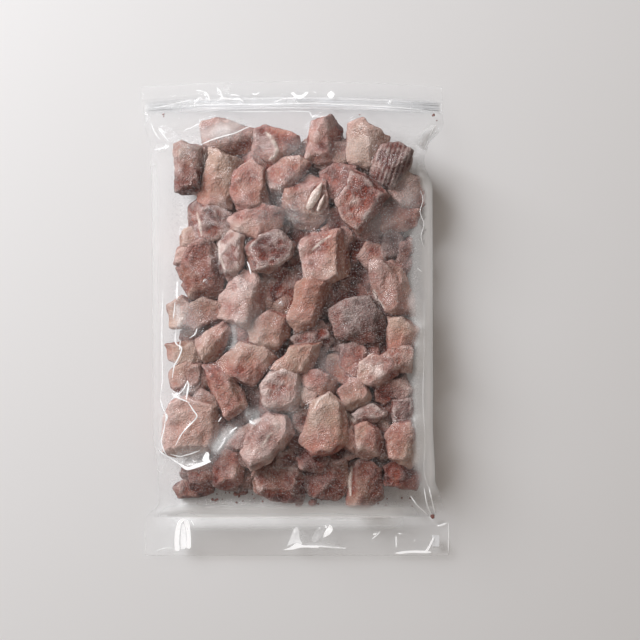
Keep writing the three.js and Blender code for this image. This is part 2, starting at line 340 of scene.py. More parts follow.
# The dice that show, in mm: (name, look, rise over the level, (top's share, shift x, shift y), outline)
shownDice = [
    ("a1", "greyRed", 0, (0.88, 1, 0),
     [(-78, 110), (-73, 112), (-60, 109), (-59, 83), (-70, 81), (-79, 83)]),
    ("a2", "greyPink", -4, (0.8, 0, 1),
     [(-59, 126), (-50, 128), (-26, 121), (-25, 108), (-35, 103), (-47, 107), (-58, 111)]),
    ("a3", "tan", 0, (0.78, -1, 2),
     [(-55, 109), (-34, 101), (-41, 72), (-58, 70), (-62, 77), (-57, 91)]),
    ("a4", "pinkFat", -3, (0.8, -1, 1),
     [(-25, 121), (-19, 124), (2, 117), (3, 110), (-9, 97), (-25, 104)]),
    ("a5", "pinkRed", -1, (0.78, -2, 1),
     [(11, 126), (22, 129), (31, 123), (33, 105), (23, 99), (8, 102), (11, 114)]),
    ("a6", "peach", -2, (0.84, -1, 0),
     [(36, 124), (45, 127), (60, 117), (59, 104), (46, 97), (33, 102)]),
    ("a7", "maroonStriped", 2, (0.9, 0, 0),
     [(49, 99), (57, 110), (66, 112), (75, 106), (73, 97), (66, 89), (60, 82), (51, 91)]),
    ("b1", "pinkTan", 2, (0.82, -1, 1),
     [(-39, 94), (-28, 100), (-20, 94), (-17, 73), (-35, 67), (-40, 83)]),
    ("b2", "pinkBrown", -1, (0.8, -1, 1),
     [(-18, 93), (-9, 100), (3, 104), (11, 99), (2, 88), (-5, 80), (-14, 81)]),
    ("b3", "pinkFat", 1, (0.8, 1, 2),
     [(-4, 85), (9, 91), (20, 87), (20, 68), (14, 58), (-1, 58), (-7, 72)]),
    ("b4", "pinkRed", -2, (0.86, 0, 0),
     [(17, 93), (26, 98), (40, 97), (37, 82), (24, 76), (18, 84)]),
    ("b5", "redPink", 4, (0.84, -3, 1),
     [(39, 94), (50, 88), (59, 78), (52, 66), (46, 51), (36, 60), (27, 74), (36, 81)]),
    ("b6", "greyPink", -5, (0.8, 0, 0),
     [(59, 82), (69, 96), (81, 90), (83, 74), (69, 72)]),
    ("b7", "maroonPale", -1, (0.8, 1, 0),
     [(-68, 72), (-60, 77), (-41, 67), (-43, 55), (-57, 48), (-67, 57)]),
    ("b8", "pink", 1, (0.82, -1, 1),
     [(-42, 65), (-21, 72), (-8, 69), (-10, 59), (-24, 52), (-38, 56)]),
    ("b9", "pale", -6, (0.7, 0, 0),
     [(-72, 56), (-65, 60), (-62, 52), (-67, 45), (-73, 48)]),
    ("b12", "pale", -6, (0.7, 0, 0),
     [(-76, 45), (-68, 49), (-65, 40), (-70, 34), (-76, 36)]),
    ("b10", "greyTan", -8, (0.8, 0, 0),
     [(51, 68), (64, 75), (81, 71), (77, 60), (60, 53), (49, 59)]),
    ("b11", "pinkRed", -7, (0.8, 0, 0),
     [(18, 59), (25, 64), (38, 61), (37, 55), (20, 53)]),
    ("c1", "greyRed", 0, (0.82, -1, 1),
     [(-68, 46), (-58, 51), (-51, 47), (-43, 27), (-50, 14), (-67, 14), (-73, 30)]),
    ("c2", "redPale", 1, (0.8, 1, 0),
     [(-49, 50), (-42, 56), (-33, 53), (-34, 36), (-41, 24), (-48, 32)]),
    ("c3", "maroon", 4, (0.84, 2, 1),
     [(-34, 40), (-23, 52), (-12, 56), (-1, 47), (-3, 39), (-17, 30), (-28, 31)]),
    ("c4", "pinkPale", 4, (0.74, -5, 0),
     [(5, 50), (16, 55), (37, 56), (41, 47), (41, 32), (25, 24), (9, 24)]),
    ("c5", "shaded", -9, (0.8, 0, 0),
     [(55, 55), (63, 59), (70, 53), (68, 41), (60, 35), (54, 46)]),
    ("c12", "shaded", -9, (0.8, 0, 0),
     [(67, 47), (75, 53), (75, 43), (70, 32), (66, 35)]),
    ("c6", "pinkBrown", -11, (0.8, 0, 0),
     [(37, 54), (46, 52), (51, 44), (45, 35), (37, 40)]),
    ("c7", "greyTan", 0, (0.78, -2, 0),
     [(49, 35), (56, 37), (70, 30), (77, 12), (77, 2), (59, 5), (50, 25)]),
    ("c8", "maroon", -7, (0.84, 0, 0),
     [(-20, 27), (-6, 31), (6, 28), (4, 15), (-8, 5), (-18, 12)]),
    ("c9", "tan", 3, (0.74, -3, 1),
     [(4, 23), (11, 27), (24, 24), (22, 12), (13, -4), (3, -7), (-3, 0)]),
    ("c10", "shaded", -13, (0.84, 0, 0),
     [(26, 24), (37, 30), (49, 31), (50, 13), (29, 8)]),
    ("c11", "pinkFrost", 3, (0.74, -3, 1),
     [(-46, 15), (-33, 30), (-25, 28), (-20, 17), (-22, -4), (-31, -6), (-52, 3)]),
    ("d1", "pale", -3, (0.8, 0, 0),
     [(-81, 8), (-73, 13), (-67, 8), (-72, -5), (-79, -5)]),
    ("d8", "brown", -3, (0.84, 0, 1),
     [(-70, 6), (-59, 12), (-46, 9), (-48, 0), (-63, -7), (-71, -4)]),
    ("d2", "tan", 1, (0.8, -1, 0),
     [(-29, -5), (-16, 4), (-3, 1), (-4, -11), (-14, -21), (-27, -14)]),
    ("d3", "greyPurple", 1, (0.86, -1, 1),
     [(23, 5), (34, 12), (48, 12), (57, 0), (57, -14), (42, -14), (28, -12)]),
    ("d4", "pinkTan", -2, (0.8, 0, 0),
     [(60, 0), (69, 0), (79, -7), (76, -20), (61, -18)]),
    ("d5", "maroon", -3, (0.84, 0, 0),
     [(-2, -13), (7, -7), (20, -7), (25, -14), (20, -19), (1, -18)]),
    ("d6", "pinkTan", 1, (0.76, -1, 1),
     [(-63, -15), (-46, -3), (-42, -9), (-49, -25), (-57, -28)]),
    ("d7", "tan", -5, (0.8, 0, 0),
     [(-83, -18), (-66, -16), (-61, -23), (-62, -31), (-80, -27)]),
    ("d9", "greyTan", -3, (0.8, 0, 0),
     [(-79, -35), (-71, -28), (-60, -31), (-63, -43), (-72, -49), (-78, -43)]),
    ("e1", "pinkTan", 1, (0.82, -1, 1),
     [(-49, -28), (-34, -16), (-17, -19), (-12, -25), (-27, -43), (-44, -37)]),
    ("e2", "pinkPale", 1, (0.84, -1, 1),
     [(-14, -32), (-2, -20), (17, -16), (9, -34), (-5, -36)]),
    ("e3", "pinkBrown", -4, (0.84, 0, 0),
     [(30, -18), (40, -14), (50, -22), (46, -36), (36, -38), (30, -29)]),
    ("e12", "pinkBrown", -7, (0.8, 0, 0),
     [(20, -24), (28, -25), (37, -36), (33, -44), (22, -38)]),
    ("e4", "pinkBrown", 1, (0.82, -1, 1),
     [(43, -29), (52, -23), (63, -27), (65, -36), (54, -44), (41, -40)]),
    ("e5", "redPink", 0, (0.84, 0, 1),
     [(55, -25), (64, -17), (75, -20), (75, -35), (60, -33)]),
    ("e13", "rust", -5, (0.8, 0, 0),
     [(52, -42), (62, -39), (64, -50), (58, -55), (53, -52)]),
    ("e14", "brown", -5, (0.8, 0, 0),
     [(62, -40), (71, -38), (74, -46), (69, -53), (62, -50)]),
    ("e6", "pinkRed", 1, (0.78, -1, 0),
     [(-58, -32), (-48, -29), (-34, -46), (-32, -55), (-42, -64), (-50, -50)]),
    ("e7", "brown", -6, (0.84, 0, 0),
     [(-68, -39), (-58, -34), (-50, -42), (-51, -51), (-66, -49)]),
    ("e8", "slice", 2, (0.88, 0, 0),
     [(-21, -43), (-15, -36), (-7, -33), (3, -37), (6, -47), (1, -58), (-10, -60), (-19, -55)]),
    ("e9", "pinkPale", -1, (0.82, -1, 1),
     [(4, -35), (16, -33), (26, -39), (31, -48), (19, -50), (8, -43)]),
    ("e15", "pale", -2, (0.7, 0, 0),
     [(4, -48), (9, -43), (16, -47), (13, -54), (6, -55)]),
    ("e10", "pinkTan", 0, (0.8, -1, 1),
     [(30, -48), (36, -40), (43, -39), (49, -51), (44, -59), (34, -57)]),
    ("e11", "maroon", -4, (0.84, 0, 0),
     [(63, -54), (74, -51), (76, -67), (65, -66)]),
    ("f1", "smoothPink", 0, (0.86, -1, 1),
     [(-78, -55), (-69, -51), (-50, -57), (-51, -77), (-58, -85), (-72, -88), (-83, -86), (-83, -65)]),
    ("f9", "brown", -1, (0.8, 0, 0),
     [(-67, -52), (-59, -47), (-52, -50), (-50, -57), (-63, -59)]),
    ("f2", "redPink", -5, (0.8, 0, 0),
     [(-47, -85), (-35, -71), (-25, -67), (-23, -76), (-31, -83)]),
    ("f3", "pinkFrost", 3, (0.8, -1, 1),
     [(-33, -85), (-24, -68), (-17, -62), (-5, -64), (-2, -75), (-17, -91), (-27, -96)]),
    ("f4", "pinkTan", 4, (0.78, -1, 1),
     [(13, -53), (22, -49), (31, -55), (35, -79), (24, -85), (14, -89), (4, -78)]),
    ("f5", "redPale", -2, (0.8, 0, 0),
     [(37, -61), (50, -55), (58, -60), (52, -66), (41, -68)]),
    ("f6", "pinkBrown", 0, (0.78, -1, 1),
     [(40, -71), (47, -68), (54, -73), (58, -84), (47, -91), (40, -86)]),
    ("f10", "pinkTan", -3, (0.7, 0, 0),
     [(32, -72), (36, -70), (41, -79), (38, -86), (33, -82)]),
    ("f7", "pinkTan", 0, (0.8, -1, 1),
     [(59, -75), (65, -69), (75, -68), (79, -88), (73, -95), (62, -88)]),
    ("f8", "brown", -6, (0.8, 0, 0),
     [(31, -60), (38, -60), (41, -68), (36, -74), (32, -70)]),
    ("g1", "brown", -12, (0.7, 0, 0),
     [(-79, -111), (-71, -106), (-64, -108), (-64, -116), (-75, -117)]),
    ("g2", "brown", -8, (0.82, 0, 1),
     [(-68, -100), (-60, -94), (-52, -99), (-53, -114), (-63, -117), (-68, -109)]),
    ("g3", "pinkRed", -5, (0.84, 0, 1),
     [(-52, -89), (-44, -84), (-35, -87), (-35, -106), (-45, -111), (-52, -107)]),
    ("g4", "maroon", -5, (0.84, 0, 1),
     [(-26, -102), (-16, -97), (2, -97), (8, -110), (4, -120), (-14, -118), (-25, -111)]),
    ("g9", "maroon", -11, (0.84, 0, 0),
     [(-11, -87), (-1, -84), (4, -93), (-2, -99), (-11, -96)]),
    ("g5", "rust", -6, (0.8, 0, 0),
     [(2, -90), (8, -84), (17, -85), (22, -91), (18, -98), (6, -97)]),
    ("g6", "brown", -6, (0.86, 0, 1),
     [(8, -100), (20, -93), (34, -92), (35, -111), (27, -117), (11, -115)]),
    ("g7", "pinkBrown", -5, (0.84, 0, 1),
     [(36, -95), (44, -91), (55, -98), (57, -116), (47, -123), (34, -120)]),
    ("g8", "rust", -6, (0.84, 0, 1),
     [(58, -97), (67, -90), (77, -93), (81, -104), (78, -111), (60, -108)]),
]
# how each look is made: piece, redness, darkness, rime, how much redder its sides are, mottling
looks = {
    "tan": ("pale", 0.10, 0.24, 0.26, 0.20, 0.3),
    "greyTan": ("pale", 0.20, 0.34, 0.28, 0.20, 0.5),
    "pale": ("pale", 0.26, 0.09, 0.42, 0.10, 0.5),
    "peach": ("pale", 0.32, 0.06, 0.34, 0.15, 0.5),
    "pinkTan": ("pale", 0.36, 0.14, 0.27, 0.25, 0.6),
    "pinkPale": ("pink", 0.38, 0.05, 0.32, 0.28, 0.6),
    "pink": ("pink", 0.48, 0.14, 0.28, 0.25, 0.8),
    "pinkBrown": ("pink", 0.52, 0.32, 0.22, 0.20, 0.9),
    "pinkFat": ("pink", 0.44, 0.10, 0.31, 0.25, 0.9),
    "pinkFrost": ("pink", 0.46, 0.10, 0.46, 0.25, 0.8),
    "smoothPink": ("pink", 0.16, 0.0, 0.62, 0.15, 0.3),
    "pinkRed": ("pink", 0.64, 0.12, 0.28, 0.10, 1.0),
    "redPink": ("red", 0.60, 0.00, 0.25, 0.10, 0.8),
    "redPale": ("red", 0.66, 0.14, 0.33, 0.00, 1.0),
    "slice": ("red", 0.44, 0.00, 0.50, -0.25, 0.8),
    "maroon": ("red", 0.86, 0.08, 0.14, -0.45, 1.2),
    "maroonPale": ("red", 0.72, 0.24, 0.31, -0.15, 1.0),
    "maroonStriped": ("red", 0.98, 0.56, 0.08, -0.05, 0.5),
    "shaded": ("brown", 0.72, 0.50, 0.06, 0.10, 0.8),
    "rust": ("brown", 0.60, 0.06, 0.07, 0.12, 1.1),
    "brown": ("brown", 0.54, 0.42, 0.18, 0.10, 0.8),
    "greyRed": ("brown", 0.60, 0.52, 0.24, 0.15, 0.8),
    "greyPurple": ("brown", 0.74, 0.74, 0.20, 0.10, 0.6),
    "greyPink": ("brown", 0.42, 0.22, 0.38, 0.10, 0.7),
}
cut = {
    "allowance": 2.3,     # mm that the softening of the edges takes off again
    "level": 32.8,        # top of a die of rise 0
    "fuller": 0.3,        # tops wider than the first reading
    "endDrop": 6.0,       # the pack thins towards its foot
    "slices": 3,
    "slant": (0.7, 2.2),
    "sliceAt": (0.36, 0.62),
    "shoulder": 0.28,     # where the widest ring is, as a share of the height below the top
    "thickness": (19.0, 25.0),
    "lowest": 1.0,
    "footShare": 0.9,
    "tilt": 13.0,          # degrees
    "rounding": 4,
    "voxel": 1.0,
    "beneathVoxel": 2.3,
    "pull": 4.2,
    "lumps": 1.6,
    "fibres": 0.95,
    "paintedShadeFrom": 28.0,
    "paintedShadeTo": 18.0,
}

# the faces that a die shows, as (x, y, way it falls, steepness): it starts at a pixel of the frame and falls
# to the right at 0 degrees, up the picture at 90, to the left at 180 and down at 270
facets = {
    "a1": [(181, 165, 182, 48), (190, 186, 272, 55), (197, 165, 0, 60)],
    "a2": [(228, 141, 292, 38), (212, 132, 150, 25), (250, 140, 340, 50)],
    "a3": [(216, 175, 176, 30), (223, 180, 350, 24), (236, 175, 340, 45)],
    "a4": [(266, 150, 215, 30), (282, 150, 318, 44), (274, 137, 90, 30)],
    "a5": [(328, 137, 5, 56), (318, 135, 165, 26), (326, 149, 285, 38)],
    "a6": [(360, 140, 176, 30), (368, 142, 355, 28), (366, 128, 80, 35)],
    "a7": [(381, 166, 205, 48), (400, 163, 330, 44), (393, 150, 85, 34)],
    "b1": [(241, 190, 190, 24), (260, 190, 352, 52), (252, 176, 75, 30)],
    "b2": [(284, 174, 140, 24), (296, 174, 315, 48)],
    "b3": [(298, 207, 250, 44), (316, 214, 300, 48), (300, 192, 130, 14)],
    "b4": [(334, 180, 130, 20), (346, 186, 318, 34)],
    "b5": [(371, 209, 321, 66), (371, 184, 48, 60), (352, 205, 190, 12)],
    "b6": [(405, 182, 120, 20), (408, 190, 330, 30)],
    "b7": [(204, 222, 186, 42), (208, 222, 340, 16), (205, 210, 90, 40)],
    "b8": [(250, 219, 130, 16), (264, 224, 318, 36), (245, 232, 250, 45)],
    "b10": [(395, 214, 110, 25), (398, 222, 290, 35)],
    "c1": [(194, 270, 188, 34), (211, 262, 5, 46), (205, 286, 280, 42)],
    "c2": [(223, 256, 190, 50), (237, 252, 0, 34), (232, 270, 280, 40)],
    "c3": [(252, 254, 195, 62), (288, 250, 350, 50), (270, 267, 285, 55)],
    "c4": [(336, 255, 2, 60), (320, 239, 96, 42), (314, 262, 205, 14)],
    "c7": [(384, 285, 200, 32), (393, 285, 18, 38), (398, 307, 275, 50)],
    "c8": [(282, 285, 120, 18), (284, 292, 300, 26)],
    "c9": [(305, 298, 165, 28), (317, 300, 342, 64), (300, 318, 240, 40)],
    "c11": [(238, 300, 165, 30), (250, 300, 352, 54), (243, 288, 80, 30)],
    "d1": [(180, 315, 190, 42)],
    "d2": [(264, 330, 160, 22), (281, 334, 350, 54), (270, 344, 260, 46)],
    "d3": [(345, 318, 185, 24), (372, 322, 350, 36), (356, 334, 270, 42)],
    "d4": [(396, 330, 150, 22), (404, 338, 320, 34)],
    "d5": [(312, 336, 95, 24), (314, 341, 285, 48)],
    "d6": [(205, 345, 150, 30), (214, 343, 325, 50)],
    "d7": [(178, 355, 190, 24), (192, 357, 330, 30)],
    "d9": [(184, 374, 170, 20), (190, 383, 285, 56), (197, 376, 0, 40)],
    "e1": [(240, 362, 165, 18), (258, 366, 318, 34), (232, 374, 240, 40)],
    "e2": [(290, 362, 140, 16), (307, 362, 335, 50)],
    "e3": [(350, 358, 170, 18), (362, 360, 340, 44)],
    "e4": [(374, 368, 160, 20), (384, 372, 310, 34)],
    "e5": [(394, 358, 120, 22), (400, 364, 300, 36)],
    "e6": [(217, 388, 200, 26), (232, 392, 25, 50), (224, 378, 90, 20)],
    "e7": [(203, 383, 300, 34)],
    "e8": [(280, 391, 170, 9), (280, 406, 270, 60), (264, 390, 180, 55), (297, 392, 0, 60)],
    "e9": [(314, 382, 150, 22), (324, 385, 335, 42)],
    "e10": [(353, 394, 145, 22), (363, 400, 330, 50)],
    "f1": [(190, 425, 185, 10), (211, 420, 0, 60), (190, 446, 272, 55), (172, 425, 180, 45)],
    "f2": [(245, 437, 140, 24), (250, 440, 300, 36)],
    "f3": [(262, 440, 160, 24), (278, 444, 318, 50), (262, 424, 95, 30)],
    "f4": [(315, 424, 186, 36), (340, 424, 6, 54), (324, 450, 270, 56), (328, 408, 85, 26)],
    "f5": [(366, 410, 100, 20), (366, 418, 275, 46)],
    "f6": [(365, 440, 170, 26), (374, 445, 350, 52)],
    "f7": [(400, 440, 150, 22), (408, 448, 340, 44)],
    "g2": [(201, 478, 90, 30), (200, 482, 275, 44)],
    "g3": [(222, 468, 175, 34), (235, 468, 355, 54), (226, 480, 280, 46)],
    "g4": [(274, 478, 120, 20), (280, 487, 275, 38), (296, 480, 340, 44)],
    "g5": [(312, 458, 130, 22), (318, 464, 300, 40)],
    "g6": [(320, 478, 176, 40), (328, 482, 310, 30)],
    "g7": [(357, 485, 178, 48), (366, 485, 335, 28)],
    "g8": [(396, 470, 140, 20), (404, 476, 310, 34)],
}

pulled = bpy.data.textures.new("pulledOutOfShape", "CLOUDS")
pulled.noise_scale = 13 * mm
pulled.cloud_type = "COLOR"
lumpy = bpy.data.textures.new("lumpyCut", "CLOUDS")
lumpy.noise_scale = 8 * mm
lumpy.noise_depth = 2
torn = bpy.data.textures.new("tornFibres", "CLOUDS")
torn.noise_scale = 3.4 * mm
torn.noise_depth = 3


def blockOf(outline, top, share, shift, foot, faces=()):
    # a cut block: its outline as the widest ring, a smaller top above it and a smaller foot below
    middle = Vector((sum(p[0] for p in outline) / len(outline),
                     sum(p[1] for p in outline) / len(outline), 0))
    waist = lerp(top, foot, cut["shoulder"])
    bpy.ops.mesh.primitive_circle_add(vertices=len(outline), radius=1, fill_type="NGON")
    block = named("block")
    winding = sum(a[0] * b[1] - b[0] * a[1] for a, b in zip(outline, outline[1:] + outline[:1]))
    ring = outline if winding > 0 else outline[::-1]
    grown = []
    for x, y in ring:
        more = 1 + cut["allowance"] / math.dist((x, y), middle.xy)
        grown.append((middle.x + (x - middle.x) * more, middle.y + (y - middle.y) * more))
    setPlaces(block, [(x * mm, y * mm, waist * mm) for x, y in grown])
    centre = Vector((middle.x * mm, middle.y * mm, waist * mm))
    bpy.ops.object.mode_set(mode="EDIT")
    bpy.ops.mesh.select_all(action="SELECT")
    up = (shift[0] * mm, shift[1] * mm, (top - waist) * mm)
    share = lerp(share, 1, cut["fuller"])
    reach = 0.5 * math.dist(min(outline), max(outline)) * mm
    bpy.ops.mesh.extrude_region_move(TRANSFORM_OT_translate={"value": up})
    above = centre + Vector(up)
    bpy.ops.transform.resize(value=(share, share, 1), center_override=above)
    tilt = cut["tilt"] * (0.35 if faces else 1.0)
    for axis in "XY":
        bpy.ops.transform.rotate(value=math.radians(rng.uniform(-tilt, tilt)),
                                 orient_axis=axis, center_override=above)
    bpy.ops.object.mode_set(mode="OBJECT")
    for face in block.data.polygons:
        face.select = face.center.z < (waist + 0.01) * mm
    bpy.ops.object.mode_set(mode="EDIT")
    bpy.ops.mesh.select_mode(type="FACE")
    down = (0, 0, (foot - waist) * mm)
    bpy.ops.mesh.extrude_region_move(TRANSFORM_OT_translate={"value": down})
    bpy.ops.transform.resize(value=(cut["footShare"],) * 2 + (1,), center_override=centre + Vector(down))
    # its faces, corners and top edges are sliced off, as a knife leaves them
    planes = []
    for across, down, way, steep in faces:
        x, y = onBag(across, down, top)
        way, steep = math.radians(way), math.radians(steep)
        slant = Vector((math.cos(way) * math.sin(steep), math.sin(way) * math.sin(steep), math.cos(steep)))
        planes.append((Vector((x * mm, y * mm, (top + 0.4) * mm)), slant))
    start = rng.uniform(0, 2 * math.pi)
    for k in range(cut["slices"] - min(2, len(faces))):
        turn = start + k * 2 * math.pi / cut["slices"] + rng.uniform(-0.6, 0.6)
        slant = Vector((math.cos(turn), math.sin(turn), rng.uniform(*cut["slant"]))).normalized()
        planes.append((above + slant * reach * rng.uniform(*cut["sliceAt"]), slant))
    for place, slant in planes:
        bpy.ops.mesh.select_all(action="SELECT")
        bpy.ops.mesh.bisect(plane_co=place, plane_no=slant, use_fill=True, clear_outer=True)
    bpy.ops.mesh.select_all(action="SELECT")
    bpy.ops.mesh.normals_make_consistent(inside=False)
    bpy.ops.object.mode_set(mode="OBJECT")
    return block


def roughen(block, voxel, lumps, fibres, pull):
    # edges softened, then the cut faces made uneven and fibrous
    activate(block)
    finishWith(block, "REMESH", mode="VOXEL", voxel_size=voxel * mm, use_smooth_shade=True)
    finishWith(block, "SMOOTH", factor=0.6, iterations=cut["rounding"])
    finishWith(block, "DISPLACE", texture=pulled, texture_coords="LOCAL", direction="RGB_TO_XYZ",
               strength=pull * mm, mid_level=0.5)
    finishWith(block, "DISPLACE", texture=lumpy, texture_coords="LOCAL", strength=lumps * mm, mid_level=0.5)
    finishWith(block, "DISPLACE", texture=torn, texture_coords="LOCAL", strength=fibres * mm, mid_level=0.5)
    at = places(block)
    at[:, 2] = np.maximum(at[:, 2], 0.3 * mm)
    setPlaces(block, at)


def sharpness(piece, rounds):
    # how far each point stands out from its neighbours, in mm: edges above 0, hollows below
    at = places(piece)
    lines = np.empty(len(piece.data.edges) * 2, np.int32)
    piece.data.edges.foreach_get("vertices", lines)
    lines = lines.reshape(-1, 2)
    count = np.bincount(lines.ravel(), minlength=len(at))[:, None]
    even = at
    for _ in range(rounds):
        total = np.zeros_like(even)
        for axis in range(3):
            total[:, axis] = (np.bincount(lines[:, 0], even[lines[:, 1], axis], len(at))
                              + np.bincount(lines[:, 1], even[lines[:, 0], axis], len(at)))
        even = lerp(even, total / count, 0.7)
    normals = np.empty(len(at) * 3, np.float32)
    piece.data.vertices.foreach_get("normal", normals)
    return ((at - even) * normals.reshape(-1, 3)).sum(1) / mm


markings = {
    "side": (0.25, 0.8),
    "sidePaintedShade": 0.24,
    "rime": 0.70,
    "sideRime": 0.45,      # share of the rime that a side lacks
    "deepRedder": 0.08,
    "deepPaintedShade": 0.16,
    "deepRime": 0.8,
    "across": (0.30, 0.18, 0.12),  # how redness, darkness and rime swing from side to side
    "spotReach": 26,       # mm from a die's middle
    "fatReach": 22,
    "evening": 12,
    "edge": 1.3,
    "hollowPaintedShade": -0.35,
}


def markDie(die, look, fibreTurn):
    # what the beef materials read: grain coordinates, redness, darkness and rime, edges and fat
    kind, red, dark, rime, sides, mottle = looks[look]
    at = places(die)
    normals = np.empty(len(at) * 3, np.float32)
    die.data.vertices.foreach_get("normal", normals)
    normals = normals.reshape(-1, 3)
    turned = np.array(Euler(fibreTurn).to_matrix())
    middle = at.mean(0)
    paint(die, "grain", (at - middle) @ turned + scatter.uniform(-1, 1, 3))
    side = smooth(1 - normals[:, 2], *markings["side"])
    out = sharpness(die, markings["evening"])
    tone = np.zeros((len(at), 3))
    tone[:, 0] = red + sides * side
    # painted shade: faces that turn away from the top are darker
    tone[:, 1] = dark + markings["sidePaintedShade"] * side
    tone[:, 2] = markings["rime"] * rime * (1 - markings["sideRime"] * side)
    # painted shade: low down between the dice the meat is darker and redder, and it carries less rime
    deep = smooth(at[:, 2] / mm, cut["paintedShadeFrom"], cut["paintedShadeTo"])
    tone[:, 0] += markings["deepRedder"] * deep
    tone[:, 1] += markings["deepPaintedShade"] * deep
    tone[:, 2] *= 1 - markings["deepRime"] * deep
    x, y = at[:, 0] / mm, at[:, 1] / mm
    top = smooth(normals[:, 2], -0.1, 0.4)
    # one side of a die is redder, one darker and one frostier than the rest
    toward = (at - middle) / (np.abs(at - middle).max(0) + 1e-6)
    for channel, much in enumerate(markings["across"]):
        way = scatter.normal(size=3)
        tone[:, channel] += much * toward @ (way / np.linalg.norm(way))
    fat = np.zeros(len(at))
    for across, down, wide, redder, darker, frostier in spots:
        if max(abs(across - middle[0] / mm), abs(down - middle[1] / mm)) > markings["spotReach"]:
            continue
        mask = top * np.exp(-(((x - across) ** 2 + (y - down) ** 2) / wide ** 2))
        tone += mask[:, None] * np.array([redder, darker, frostier])
    for wide, lift, line in fatLines:
        if math.dist(line[0], (middle[0] / mm, middle[1] / mm)) > markings["fatReach"]:
            continue
        away, share = besideLine(x, y, line)
        wide = wide * (0.55 + 0.45 * np.sin(np.pi * np.clip(share, 0.02, 0.98)))
        strand = top * smooth(away, wide * 1.25, wide * 0.35)
        fat = np.maximum(fat, strand)
        at[:, 2] += strand * lift * mm
    setPlaces(die, at)
    paint(die, "tone", np.clip(tone, 0, 1.2))
    # edges carry more rime; hollows, below 0, carry less and so are darker, a painted shade
    paint(die, "edge", np.clip(out * markings["edge"], markings["hollowPaintedShade"], 1))
    paint(die, "fat", fat)
    paint(die, "mottle", np.full(len(at), mottle))
    return kind


# marks that single dice carry: (x, y, width, redder, darker, frostier), in pixels of the frame
spots = []
for across, down, wide, redder, darker, frostier in [
    (187, 178, 14, 0.35, 0.10, -0.1), (180, 152, 9, -0.2, -0.1, 0.1), (174, 170, 6, 0, -0.2, 0.3),
    (228, 128, 14, 0, -0.1, 0.35), (236, 143, 10, 0.25, 0.15, -0.1), (206, 124, 5, 0.3, 0.1, -0.2),
    (291, 139, 8, 0.5, 0.1, -0.3), (262, 131, 6, 0.35, 0, -0.2), (268, 146, 5, 0.1, 0, 0.1),
    (320, 128, 9, 0, -0.1, 0.3), (321, 146, 6, 0.4, 0.25, -0.2), (336, 145, 8, 0.0, 0.35, -0.1),
    (352, 140, 7, -0.1, -0.1, 0.0), (372, 142, 9, 0, 0.05, 0.3), (373, 165, 6, -0.4, -0.2, 0.5),
    (252, 178, 7, 0.3, 0, 0), (246, 188, 6, -0.2, -0.1, 0.2), (240, 205, 7, 0.1, 0, 0.1),
    (296, 218, 9, 0.1, 0.35, 0.1), (302, 196, 8, -0.1, 0, 0.2), (340, 180, 8, 0.1, 0.1, 0.1),
    (355, 201, 5, -0.2, 0, 0.5), (362, 192, 7, 0.1, 0, -0.1), (368, 218, 6, 0.2, 0.25, 0.2),
    (194, 216, 6, -0.3, -0.1, 0.3), (212, 218, 8, 0.2, 0.15, 0), (238, 216, 5, 0.3, 0, -0.1),
    (222, 248, 5, -0.4, -0.15, 0.5), (232, 262, 8, 0.2, 0.05, 0), (262, 250, 9, 0.12, 0.1, -0.1),
    (318, 248, 6, 0.3, 0, -0.1), (310, 262, 5, 0.25, 0, 0), (326, 268, 7, -0.15, -0.1, 0.1),
    (240, 290, 9, 0, -0.1, 0.25), (232, 310, 9, 0.2, 0.05, -0.1), (252, 312, 8, 0.1, 0.3, -0.1),
    (350, 318, 9, 0.1, 0.05, 0.2), (356, 330, 8, 0.1, 0.05, 0.15), (376, 370, 8, -0.3, -0.1, 0.6),
    (395, 356, 7, 0.2, 0.05, 0), (240, 370, 7, 0.35, 0.1, -0.2), (213, 375, 6, 0.2, 0, -0.1),
    (232, 400, 6, 0.1, 0.05, 0.1), (281, 392, 9, 0.18, 0.12, -0.15), (318, 365, 7, 0.3, 0.05, 0),
    (190, 430, 10, 0.06, 0, 0), (212, 436, 9, 0.25, 0.12, -0.1), (182, 412, 10, -0.15, 0, 0.1),
    (265, 440, 8, 0.15, 0.25, -0.1), (278, 425, 6, -0.2, -0.1, 0.3), (252, 455, 6, -0.2, -0.1, 0.3),
    (322, 438, 10, 0.2, 0.05, 0.05), (318, 418, 7, -0.2, -0.1, 0.15), (335, 445, 6, 0.2, 0.15, -0.1),
    (233, 460, 6, 0.35, 0, -0.2), (230, 475, 6, 0, -0.1, 0.2), (300, 455, 5, 0.35, 0.15, -0.2),
    (315, 458, 4, 0.35, 0.2, -0.2), (410, 470, 7, 0.3, 0.2, -0.2), (382, 398, 6, 0.3, 0.1, -0.3),
]:
    x, y = onBag(across, down)
    spots.append((x, y, wide * photo["mmPerPixel"], redder, darker, frostier))
# lines of fat: (width in pixels, height in mm, line in the photo's frame)
fatLines = []
for wide, lift, line in [
    (2.2, 0.5, [(266, 132), (270, 136), (274, 142), (277, 149), (275, 155), (269, 159)]),
    (1.8, 0.4, [(219, 241), (218, 249), (220, 258), (224, 268)]),
    (1.4, 0.3, [(262, 446), (266, 440), (271, 433)]),
    (1.8, 0.5, [(346, 412), (350, 418), (357, 424)]), (1.3, 0.3, [(325, 395), (319, 400), (314, 408)]),
    (1.6, 0.3, [(196, 212), (199, 222), (201, 236)]), (1.6, 0.4, [(374, 290), (378, 300), (384, 308)]),
    (1.4, 0.3, [(312, 250), (320, 243), (330, 236)]), (2.0, 0.4, [(352, 470), (350, 484), (351, 498)]),
]:
    fatLines.append((wide * photo["mmPerPixel"], lift, [onBag(*p) for p in line]))

